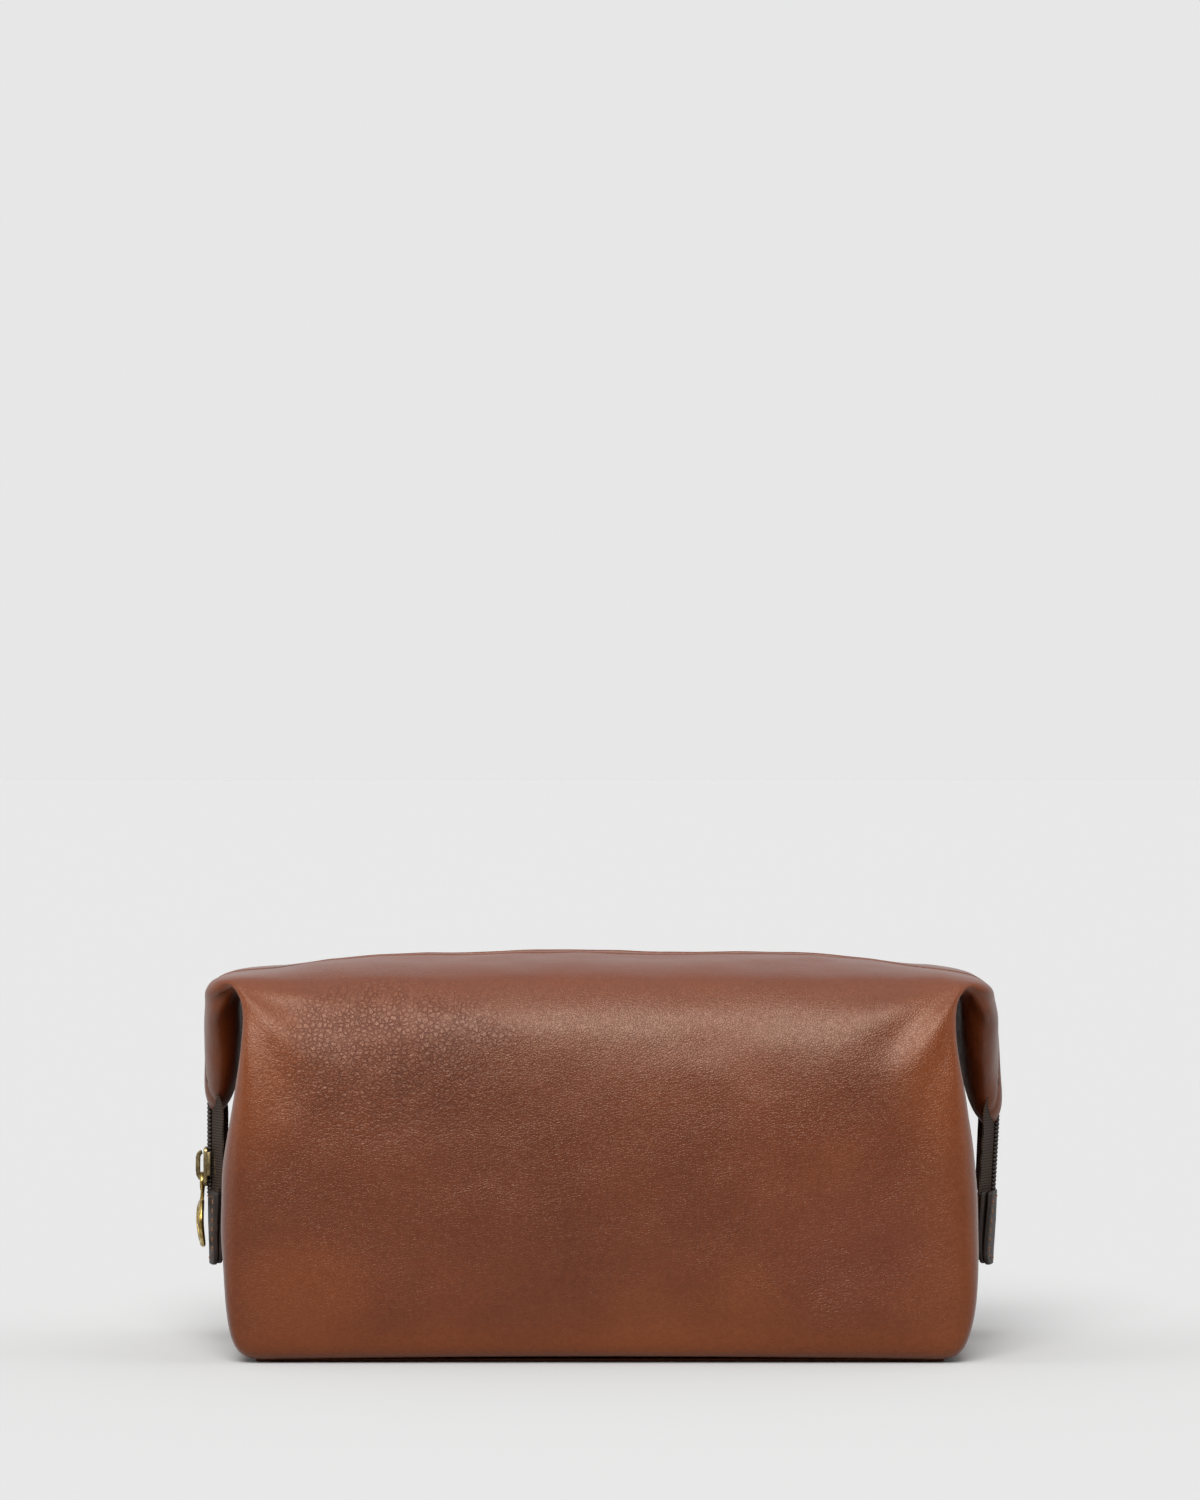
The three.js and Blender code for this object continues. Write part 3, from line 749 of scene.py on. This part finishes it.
floorPoints = []
floorFaces = []
acrossCount, alongCount = 17, 33
for i in range(alongCount):
    for j in range(acrossCount):
        x = (i / (alongCount - 1) * 2 - 1) * 122
        y = (j / (acrossCount - 1) * 2 - 1) * 59
        z = lining["floor"] + 0.15 + 0.5 * noise.noise(Vector((x / 30, y / 30, 4)))
        floorPoints.append((x * mm, y * mm, z * mm))
for i in range(alongCount - 1):
    for j in range(acrossCount - 1):
        floorFaces.append(
            (
                i * acrossCount + j, (i + 1) * acrossCount + j, (i + 1) * acrossCount + j + 1,
                i * acrossCount + j + 1
            )
        )
floorLining = meshPiece("liningFloor", floorPoints, floorFaces, plain["cottonTwill"])
applyModifier(floorLining, "SOLIDIFY", thickness=0.5 * mm, offset=-1)
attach(floorLining, "bag_body")
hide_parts("base_lining")
print("base and lining done")

# Zip line.

# The leather's outside along the zip, from the left end over the top to the right end.


def leatherAt(start, direction):
    hit = leatherTree.ray_cast(Vector(start) * mm, Vector(direction))[0]
    return Vector((hit.x / mm, hit.z / mm)) if hit else None


def sideLine(side):
    # The zip's line at one end: down the ear, then straight on as the tail.
    found = []
    for z in range(127, 91, -3):
        found.append(leatherAt((side * 170, -6.5, z), (-side, 0, 0)))
    last, before = found[-1], found[-4]
    slope = (last.x - before.x) / (last.y - before.y)
    # The ear's slope dies out over the first drop; only the right tail then leans to the bag.
    tailStep, fadeDrop = 3, 9
    for drop in range(tailStep, 42, tailStep):
        lean = slope * max(0, 1 - drop / fadeDrop) - side * 0.055 * ease(4, 14, drop) * (side > 0)
        sideways = lean * tailStep if drop > fadeDrop else -lean * tailStep
        found.append(Vector((found[-1].x + sideways, last.y - drop)))
    return found


def turnLine(side):
    middle = Vector((side * 126, 0, 122))
    found = []
    for degrees in range(18, 84, 6):
        way = Vector((side * math.cos(math.radians(degrees)), 0, math.sin(math.radians(degrees))))
        start = middle + way * 60
        found.append(leatherAt((start.x, -6.5, start.z), -way))
    return found


topLine = [leatherAt((x, -6.5, 200), (0, 0, -1)) for x in range(-120, 121, 6)]
rawLine = sideLine(-1)[::-1] + turnLine(-1) + topLine + turnLine(1)[::-1] + sideLine(1)
rawLine = [p for p in rawLine if p]
for _ in range(3):
    rawLine = [rawLine[0]] + [
        (a + b * 2 + c) / 4 for a, b, c in zip(rawLine, rawLine[1:], rawLine[2:])
    ] + [rawLine[-1]]
lengths = [0]
for a, b in zip(rawLine, rawLine[1:]):
    lengths.append(lengths[-1] + (b - a).length)
zipLength = lengths[-1]
print(
    "zip length", round(zipLength, 1), [round(c, 1) for c in rawLine[0]], [round(c, 1) for c in rawLine[-1]]
)


def zipAt(distance):
    # Place, way along and way out at a distance along the zip, in mm, in X and Z.
    index = max(i for i, length in enumerate(lengths[:-1]) if length <= max(0, distance) or i == 0)
    a, b = rawLine[index], rawLine[index + 1]
    along = (b - a).normalized()
    place = a + along * (distance - lengths[index])
    return place, along, Vector((-along.y, along.x))


def zipPoint(distance, y, lift):
    place, along, out = zipAt(distance)
    at = place + out * lift
    return Vector((at.x, y, at.y)) * mm


def zipSpan(side):
    # Where the zip leaves the middle piece, along the zip.
    inner = min(
        range(int(zipLength)), key=lambda d: abs(zipAt(d)[0].x - side * splitAt) + (
            0 if zipAt(d)[0].y > 130 else 99
        )
    )
    return inner


leftSplit, rightSplit = zipSpan(-1), zipSpan(1)
tapeStep = 2.5


def tapeStrip(name, start, end, halves, shape):
    # Tape from one distance along the zip to another. shape gives each row's (y, lift) points.
    points, faces = [], []
    rows = max(2, int((end - start) / tapeStep)) + 1
    for half in halves:
        base = len(points)
        for i in range(rows):
            distance = start + (end - start) * i / (rows - 1)
            section = shape(distance)
            for y, lift in section:
                points.append(zipPoint(distance, half * y, lift))
        wide = len(section)
        for i in range(rows - 1):
            for j in range(wide - 1):
                quad = (
                    base + i * wide + j, base + (i + 1) * wide + j, base + (i + 1) * wide + j + 1,
                    base + i * wide + j + 1
                )
                faces.append(quad if half < 0 else quad[::-1])
    piece = meshPiece(name, points, faces, plain["zipTape"])
    applyModifier(piece, "SOLIDIFY", thickness=0.6 * mm, offset=0)
    bpy.ops.object.shade_smooth_by_angle(angle=0.9)
    return piece


# Below the leather the tape is swept back on both sides of its coil, like a shallow V.
tail = dict(sweep=0.36, tape=13.5)


def tapeShape(distance):
    place = zipAt(distance)[0]
    below = 1 - ease(84, 100, place.y)
    lean = tail["sweep"] * below
    narrow = 1 - 0.22 * (1 - ease(56, 84, place.y))
    base = -2.3 if abs(place.x) < 125 else -2.2
    return [
        (
            y * (narrow if y > 4 else 1), base - max(0, y - 2.2) * (lean + 0.045)
        ) for y in (0.8, 3.0, 5.2, 7.4, 9.6, 11.6, tail["tape"])
    ]


def distanceAtHeight(side, z):
    options = [d / 2 for d in range(int(zipLength * 2)) if zipAt(d / 2)[0].x * side > 100]
    return min(options, key=lambda d: abs(zipAt(d)[0].y - z))


tailTop = distanceAtHeight(1, 92)
leftEnd, rightEnd = 0.2, zipLength - 0.2
tapes = {
    "frontZipTape": (leftSplit, rightSplit, [-1], "front_lip", lipWeight, ["front_zip_tape_top"]),
    "backZipTape": (leftSplit, rightSplit, [1], "back_lip", lipWeight, ["back_zip_tape_top"]),
    "leftEarTape": (
        leftEnd, leftSplit, [-1, 1], "left_ear", earWeight, ["left_ear_tape_front", "left_ear_tape_back"]
    ),
    "rightEarTape": (
        rightSplit, tailTop, [-1, 1], "right_ear", earWeight,
        ["right_ear_tape_front", "right_ear_tape_back"]
    ),
}
for name, (start, end, halves, bodyName, weigh, nodes) in tapes.items():
    piece = tapeStrip(name, start, end, halves, tapeShape)
    bend(piece, weigh)
    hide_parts(*nodes)
tailTape = tapeStrip("rightTailTape", tailTop, rightEnd, [-1, 1], tapeShape)
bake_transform(tailTape)
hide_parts("right_tail_tape_front", "right_tail_tape_back")

# One coil turn, made once: a short fat bead laid across the zip and leaning a little.
coil = dict(pitch=1.45, wide=2.75, thick=2.1, along=1.56, y=1.32, lift=-1.25)
bpy.ops.mesh.primitive_uv_sphere_add(segments=8, ring_count=5, radius=0.5, location=(0, 0, 0))
bead = bpy.context.object
beadPoints = [v.co.copy() for v in bead.data.vertices]
beadFaces = [tuple(p.vertices) for p in bead.data.polygons]
bpy.data.objects.remove(bead)


def copies(name, spots, size, material):
    # One mesh of beads, each at (place, along, out) and stretched to size: along, across and out.
    points, faces = [], []
    for place, along, out in spots:
        across = out.cross(along)
        base = len(points)
        for p in beadPoints:
            points.append(
                place + (along * p.x * size[0] + across * p.y * size[1] + out * p.z * size[2]) * mm
            )
        faces += [tuple(base + i for i in f) for f in beadFaces]
    piece = meshPiece(name, points, faces, material)
    return piece


def coilSpots(start, end, half):
    spots = []
    steps = int((end - start) / coil["pitch"])
    for i in range(steps):
        distance = start + (i + (0.25 if half < 0 else 0.75)) * coil["pitch"]
        place, along, out = zipAt(distance)
        along3 = Vector((along.x, 0, along.y))
        out3 = Vector((out.x, 0, out.y))
        lean = (along3 + Vector((0, 0.22 * half, 0))).normalized()
        spots.append((zipPoint(distance, half * coil["y"], coil["lift"]), lean, out3))
    return spots


coilSize = (coil["along"], coil["wide"], coil["thick"])
coils = {
    "frontZipCoil": (leftSplit, rightSplit, [-1], "front_lip", lipWeight, ["front_zip_coil_top"]),
    "backZipCoil": (leftSplit, rightSplit, [1], "back_lip", lipWeight, ["back_zip_coil_top"]),
    "leftEarCoil": (
        leftEnd, leftSplit, [-1, 1], "left_ear", earWeight, ["left_ear_coil_front", "left_ear_coil_back"]
    ),
    "rightEarCoil": (
        rightSplit, tailTop, [-1, 1], "right_ear", earWeight,
        ["right_ear_coil_front", "right_ear_coil_back"]
    ),
}
for name, (start, end, halves, bodyName, weigh, nodes) in coils.items():
    spots = [s for half in halves for s in coilSpots(start, end, half)]
    piece = copies(name, spots, coilSize, plain["nylonCoil"])
    bend(piece, weigh)
    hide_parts(*nodes)
spots = [s for half in (-1, 1) for s in coilSpots(tailTop, rightEnd, half)]
tailCoil = copies("rightTailCoil", spots, coilSize, plain["nylonCoil"])
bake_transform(tailCoil)
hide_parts("right_tail_coil_front", "right_tail_coil_back")
print("zip done")

# Topstitching.

stitch = dict(length=3.1, pitch=3.9, thick=0.56, y=9.2)


def stitchSpots(start, end, half):
    spots = []
    for i in range(int((end - start) / stitch["pitch"])):
        distance = start + (i + 0.5) * stitch["pitch"]
        place, along, out = zipAt(distance)
        along3, out3 = Vector((along.x, 0, along.y)), Vector((out.x, 0, out.y))
        start3 = Vector((place.x, half * stitch["y"], place.y)) * mm
        hit = leatherTree.ray_cast(start3 + out3 * 12 * mm, -out3)
        if hit[0]:
            spots.append((hit[0] + out3 * 0.05 * mm, along3, out3))
    return spots


stitchSize = (stitch["length"], stitch["thick"], stitch["thick"])
earTipLeft, earTipRight = distanceAtHeight(-1, 95), distanceAtHeight(1, 93)
rows = {
    "frontTopstitch": (leftSplit, rightSplit, [-1], "front_lip", lipWeight, ["front_topstitch"]),
    "backTopstitch": (leftSplit, rightSplit, [1], "back_lip", lipWeight, ["back_topstitch"]),
    "leftEarStitch": (
        earTipLeft, leftSplit, [-1, 1], "left_ear", earWeight,
        ["left_ear_stitch_front", "left_ear_stitch_back"]
    ),
    "rightEarStitch": (
        rightSplit, earTipRight, [-1, 1], "right_ear", earWeight,
        ["right_ear_stitch_front", "right_ear_stitch_back"]
    ),
}
for name, (start, end, halves, bodyName, weigh, nodes) in rows.items():
    spots = [s for half in halves for s in stitchSpots(start, end, half)]
    piece = copies(name, spots, stitchSize, plain["waxedThread"])
    bend(piece, weigh)
    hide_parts(*nodes)
print("topstitching done")

# Slider, crown and ring.


def startBlock(name, low, high):
    # A block between two corners, in mm, ready to be shaped.
    bpy.ops.object.select_all(action="DESELECT")
    centre = [(a + b) / 2 * mm for a, b in zip(low, high)]
    size = [(b - a) * mm for a, b in zip(low, high)]
    bpy.ops.mesh.primitive_cube_add(size=1, location=centre, scale=size)
    piece = bpy.context.object
    piece.name = name
    bpy.ops.object.transform_apply(location=True, rotation=True, scale=True)
    return piece


def pick(piece, kind, wanted):
    # In edit mode, selects the faces or edges whose middle and normal or direction are wanted.
    bpy.ops.mesh.select_mode(type=kind)
    bpy.ops.mesh.select_all(action="DESELECT")
    bm = bmesh.from_edit_mesh(piece.data)
    for part in bm.faces if kind == "FACE" else bm.edges:
        middle = sum((v.co for v in part.verts), Vector()) / len(part.verts) / mm
        way = part.normal if kind == "FACE" else (part.verts[1].co - part.verts[0].co).normalized()
        if wanted(middle, way):
            part.select_set(True)
    bmesh.update_edit_mesh(piece.data)


def joined(name, parts):
    bpy.ops.object.select_all(action="DESELECT")
    for part in parts:
        part.select_set(True)
    bpy.context.view_layer.objects.active = parts[0]
    bpy.ops.object.join()
    piece = bpy.context.object
    piece.name = name
    return piece


slider = dict(
    outer=(-142.6, -141.35), inner=(-138.0, -136.9), half=4.9, low=58.4, high=71.8, nose=0.62, flange=0.7
)


def sliderPlate(name, far, near, raised):
    plate = startBlock(name, (far, -slider["half"], slider["low"]), (near, slider["half"], slider["high"]))
    bpy.ops.object.mode_set(mode="EDIT")
    pick(plate, "FACE", lambda at, way: way.z < -0.9)
    bpy.ops.mesh.extrude_region_move(TRANSFORM_OT_translate={"value": (0, 0, 0)})
    bpy.ops.transform.resize(value=(1, slider["nose"], 1))
    bpy.ops.transform.translate(value=(0, 0, -0.6 * mm))
    pick(plate, "EDGE", lambda at, way: abs(way.x) > 0.9 and at.z > 70)
    bpy.ops.mesh.bevel(offset=1.5 * mm, segments=4)
    pick(plate, "FACE", lambda at, way: way.x * raised > 0.9)
    bpy.ops.mesh.inset(thickness=0.55 * mm)
    bpy.ops.transform.translate(value=(raised * 0.22 * mm, 0, 0))
    bpy.ops.object.mode_set(mode="OBJECT")
    applyModifier(plate, "BEVEL", width=0.16 * mm, segments=2, limit_method="ANGLE", angle_limit=0.6)
    return plate


parts = [sliderPlate("outerPlate", *slider["outer"], -1), sliderPlate("innerPlate", *slider["inner"], 1)]
for half in (-1, 1):
    near, far = sorted((half * slider["half"], half * (slider["half"] - slider["flange"])))
    for x0, x1 in (
        (slider["outer"][1] - 0.1, slider["outer"][1] + 1.1),
        (slider["inner"][0] - 0.8, slider["inner"][0] + 0.1)
    ):
        side = startBlock("flange", (x0, near, slider["low"] + 3.4), (x1, far, slider["high"] - 1.6))
        applyModifier(side, "BEVEL", width=0.14 * mm, segments=2)
        parts.append(side)
post = startBlock(
    "post", (slider["outer"][1] - 0.1, -0.34, slider["high"] - 4.6),
    (slider["inner"][0] + 0.1, 0.34, slider["high"] - 1.2)
)
parts.append(post)
sliderPiece = joined("sliderBody", parts)
sliderPiece.data.materials.append(plain["antiqueBrass"])
bpy.ops.object.shade_smooth_by_angle(angle=0.7)
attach(sliderPiece, "zip_slider")
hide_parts("slider_body")

# The crown is a strap bent into a C: its foot is on the plate and its top end stays just open.
crown = dict(
    path=[
        (-142.1, 60.6), (-143.3, 60.3), (-144.2, 60.7), (-144.85, 61.8), (-145.05, 63.4), (-145.05, 66.4),
        (-145.0, 68.2), (-144.7, 69.2), (-144.2, 69.8), (-143.6, 70.0)
    ],
    thick=1.6, half=1.1
)
points, faces = [], []
path = [Vector(p) for p in crown["path"]]
for i, at in enumerate(path):
    along = (path[min(i + 1, len(path) - 1)] - path[max(i - 1, 0)]).normalized()
    out = Vector((-along.y, along.x)) * crown["thick"] / 2
    for p in (at - out, at + out):
        points.append((p.x * mm, -crown["half"] * mm, p.y * mm))
for i in range(len(path) - 1):
    faces.append((2 * i, 2 * i + 2, 2 * i + 3, 2 * i + 1))
crownPiece = meshPiece("sliderCrown", points, faces, plain["antiqueBrass"])
onlySelect(crownPiece)
bpy.ops.object.mode_set(mode="EDIT")
bpy.ops.mesh.select_all(action="SELECT")
bpy.ops.mesh.extrude_region_move(TRANSFORM_OT_translate={"value": (0, 2 * crown["half"] * mm, 0)})
bpy.ops.mesh.select_all(action="SELECT")
bpy.ops.mesh.normals_make_consistent(inside=False)
bpy.ops.object.mode_set(mode="OBJECT")
applyModifier(crownPiece, "BEVEL", width=0.3 * mm, segments=3, limit_method="ANGLE", angle_limit=0.9)
bpy.ops.object.shade_smooth_by_angle(angle=0.9)
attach(crownPiece, "zip_slider")
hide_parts("slider_crown")

# The puller is cast in one: a small eye on the crown, a short neck and the finger ring.
ring = dict(
    x=-143.45, eyeZ=59.0, eye=3.2, eyeWire=0.74, ringZ=44.5, ring=7.7, wire=1.18, flat=0.84, turn=7,
    bow=0.9
)
parts = []
for name, z, big, small in (
    ("eye", ring["eyeZ"], ring["eye"], ring["eyeWire"]),
    ("loop", ring["ringZ"], ring["ring"], ring["wire"])
):
    bpy.ops.object.select_all(action="DESELECT")
    bpy.ops.mesh.primitive_torus_add(
        location=(ring["x"] * mm, 0, z * mm), rotation=(0, math.pi / 2, 0), major_radius=big * mm,
        minor_radius=small * mm, major_segments=56, minor_segments=14
    )
    bpy.ops.object.transform_apply(location=True, rotation=True, scale=True)
    if name == "loop":
        bpy.ops.object.mode_set(mode="EDIT")
        bpy.ops.mesh.select_all(action="SELECT")
        bpy.context.scene.tool_settings.transform_pivot_point = "BOUNDING_BOX_CENTER"
        bpy.ops.transform.resize(value=(ring["flat"], 1, 1))
        bpy.ops.object.mode_set(mode="OBJECT")
    parts.append(bpy.context.object)
neck = startBlock(
    "neck", (ring["x"] - 0.7, -1.5, ring["ringZ"] + ring["ring"] + 0.3),
    (ring["x"] + 0.7, 1.5, ring["eyeZ"] - ring["eye"] - 0.2)
)
bpy.ops.object.mode_set(mode="EDIT")
bpy.ops.mesh.select_all(action="SELECT")
bpy.ops.mesh.subdivide(number_cuts=3)
pick(neck, "FACE", lambda at, way: abs(way.y) > 0.9 and abs(at.z - 53.9) < 1.2)
bpy.ops.transform.resize(value=(1, 0.72, 1))
bpy.ops.object.mode_set(mode="OBJECT")
applyModifier(neck, "BEVEL", width=0.3 * mm, segments=3, limit_method="ANGLE", angle_limit=0.6)
parts.append(neck)
ringPiece = joined("ringPuller", parts)
ringPiece.data.materials.append(plain["wornBrass"])
turn = math.radians(ring["turn"])
for vertex in ringPiece.data.vertices:
    # it hangs turned a little about its own length, with a slight set in the neck
    x, y, z = vertex.co.x - ring["x"] * mm, vertex.co.y, vertex.co.z / mm
    share = 1 - ease(50, 58, z)
    c, sn = math.cos(turn * share), math.sin(turn * share)
    vertex.co.x = ring["x"] * mm + x * c - y * sn - ring["bow"] * mm * share * math.cos((z - 46) / 5.5)
    vertex.co.y = x * sn + y * c
bpy.ops.object.shade_smooth_by_angle(angle=0.8)
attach(ringPiece, "puller")
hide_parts("ring_puller")
print("slider and ring done")

# Tabs.

# Two leaves of dark leather folded over the tape's end, creased along the middle like the tape.
tab = dict(half=10.6, high=56.5, low=29.8, thick=1.55, round=4.5, sweep=0.3, gap=1.0)
tabs = {
    -1: dict(
        outer=141.5, body="left_tab", name="leftTab", lean=0.0, nodes=["left_tab_inner", "left_tab_outer"],
        stitching="left_tab_stitching"
    ),
    1: dict(
        outer=143.3, body="right_tail", name="rightTab", lean=0.035,
        nodes=["right_tab_inner", "right_tab_outer"], stitching="right_tab_stitching"
    ),
}
for side, facts in tabs.items():
    parts = []
    for leaf in (0, 1):
        far = facts["outer"] - leaf * (tab["thick"] + tab["gap"])
        x0, x1 = sorted((side * far, side * (far - tab["thick"])))
        short = 0.5 * leaf
        part = startBlock(
            "leaf", (x0, -tab["half"] + short * 0.6, tab["low"] + short),
            (x1, tab["half"] - short * 0.6, tab["high"])
        )
        bpy.ops.object.mode_set(mode="EDIT")
        pick(part, "EDGE", lambda at, way: abs(way.x) > 0.9 and at.z < 40)
        bpy.ops.mesh.bevel(offset=tab["round"] * mm, segments=6)
        pick(part, "EDGE", lambda at, way: abs(way.x) > 0.9 and at.z > 50)
        bpy.ops.mesh.bevel(offset=1.2 * mm, segments=3)
        for line in (-7, -3.5, 0, 3.5, 7):
            bpy.ops.mesh.select_all(action="SELECT")
            bpy.ops.mesh.bisect(plane_co=(0, line * mm, 0), plane_no=(0, 1, 0))
        for line in (36, 41, 46, 51):
            bpy.ops.mesh.select_all(action="SELECT")
            bpy.ops.mesh.bisect(plane_co=(0, 0, line * mm), plane_no=(0, 0, 1))
        bpy.ops.object.mode_set(mode="OBJECT")
        applyModifier(part, "BEVEL", width=0.3 * mm, segments=3, limit_method="ANGLE", angle_limit=0.7)
        parts.append(part)
    piece = joined(facts["name"], parts)
    piece.data.materials.append(plain["bridleLeather"])

    def settle(point):
        # The crease, a slow wave and the pinch of the leaves towards their lower end.
        y, z = point.y / mm, point.z / mm
        back = tab["sweep"] * (math.hypot(y, 1.6) - 1.6)
        wave = 0.35 * math.sin(z / 6 + side * 1.3) * abs(y) / 11
        pinch = (1 - ease(30, 50, z)) * 0.5 * (
            1 if abs(point.x / mm) > facts["outer"] - tab["thick"] - 0.3 else -0.4
        )
        lean = facts["lean"] * (56 - z)
        point.x -= side * (back + wave + pinch + lean) * mm
        return point

    for vertex in piece.data.vertices:
        vertex.co = settle(vertex.co.copy())
    onlySelect(piece)
    bpy.ops.object.shade_smooth_by_angle(angle=0.8)
    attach(piece, facts["body"])
    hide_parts(*facts["nodes"])

    # One row of stitches round the leaf, seen on both leaves
    spots = []
    inset, spacing = 2.3, 3.1
    wide = tab["half"] - inset
    run = [
        (-wide, tab["high"] - inset), (-wide, tab["low"] + inset + 2), (-wide + 2, tab["low"] + inset),
        (wide - 2, tab["low"] + inset), (wide, tab["low"] + inset + 2), (wide, tab["high"] - inset),
        (-wide, tab["high"] - inset)
    ]
    for (y0, z0), (y1, z1) in zip(run, run[1:]):
        a, b = Vector((0, y0, z0)), Vector((0, y1, z1))
        pieces = max(1, round((b - a).length / spacing))
        for i in range(pieces):
            at = a.lerp(b, (i + 0.5) / pieces)
            for far, out in (
                (facts["outer"] + 0.02, 1), (facts["outer"] - 2 * tab["thick"] - tab["gap"] - 0.02, -1)
            ):
                place = settle(Vector((side * far * mm, at.y * mm, at.z * mm)))
                spots.append((place, (b - a).normalized(), Vector((side * out, 0, 0))))
    stitching = copies(facts["name"] + "Stitching", spots, (2.3, 0.55, 0.5), plain["tanThread"])
    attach(stitching, facts["body"])
    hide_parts(facts["stitching"])

# The tape's end inside the left tab.
points = [
    (
        -(139.2 - tab["sweep"] * (math.hypot(y, 1.6) - 1.6)) * mm, y * mm, z * mm
    )
    for z in (57.5, 50, 42) for y in (-9, -6, -3, 0, 3, 6, 9)
]
faces = [(r * 7 + c, r * 7 + c + 1, r * 7 + c + 8, r * 7 + c + 7) for r in (0, 1) for c in range(6)]
tapeEnd = meshPiece("leftTabTapeEnd", points, faces, plain["zipTape"])
applyModifier(tapeEnd, "SOLIDIFY", thickness=0.6 * mm, offset=0)
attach(tapeEnd, "left_tab")
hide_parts("left_tab_tape_end")
print("tabs done")

# Stage and light.
# Levels of the room, then its softboxes: name, azimuth, elevation, spread in degrees, power.
stageLight = dict(
    paper=0.475,
    front=0.1,
    back=0.799,
    fade=(-0.6, 0.05),
    boxes=[
        ("keyBox", -9, 50, 50, 0.7), ("frontBox", -6, 41, 36, 3.4), ("topBox", 0, 84, 50, 0.5),
        ("leftBox", -80, 18, 36, 0.6), ("rightBox", 80, 18, 36, 0.4)
    ],
)

paper, tree, shader = newMaterial("studioPaper")
shader.inputs["Base Color"].default_value = (stageLight["paper"],) * 3 + (1,)
shader.inputs["Roughness"].default_value = 1
shader.inputs["Specular IOR Level"].default_value = 0
reach = 40
corners = [(-reach, -reach, 0), (reach, -reach, 0), (reach, reach, 0), (-reach, reach, 0)]
floorPiece = meshPiece("floor", corners, [(0, 1, 2, 3)], paper)

# The room is white behind the bag and overhead and dim in front, where the operator stands.
world = bpy.data.worlds.new("studio")
bpy.context.scene.world = world
world.use_nodes = True
tree = world.node_tree
direction = addNode(tree, "SeparateXYZ", {0: addNode(tree, "TexCoord").outputs["Generated"]})
room = addNode(tree, "MapRange", {
    "Value": direction.outputs["Y"], "From Min": stageLight["fade"][0], "From Max": stageLight["fade"][1],
    "To Min": stageLight["front"], "To Max": stageLight["back"]}, interpolation_type="SMOOTHSTEP")
setInputs(tree, tree.nodes["Background"], {"Color": room})


def addSoftbox(name, azimuth, elevation, spread, power, warmth="#FFFFFF"):
    # A far round softbox: azimuth from the front towards the right, and how wide it looks.
    data = bpy.data.lights.new(name, "SUN")
    data.angle = math.radians(spread)
    data.energy = power
    data.color = hexColour(warmth)[:3]
    light = bpy.data.objects.new(name, data)
    a, e = math.radians(azimuth), math.radians(elevation)
    way = Vector((math.sin(a) * math.cos(e), -math.cos(a) * math.cos(e), math.sin(e)))
    light.rotation_euler = way.to_track_quat("Z", "Y").to_euler()
    bpy.context.collection.objects.link(light)


for box in stageLight["boxes"]:
    addSoftbox(*box)
bpy.context.scene.view_settings.view_transform = "Standard"
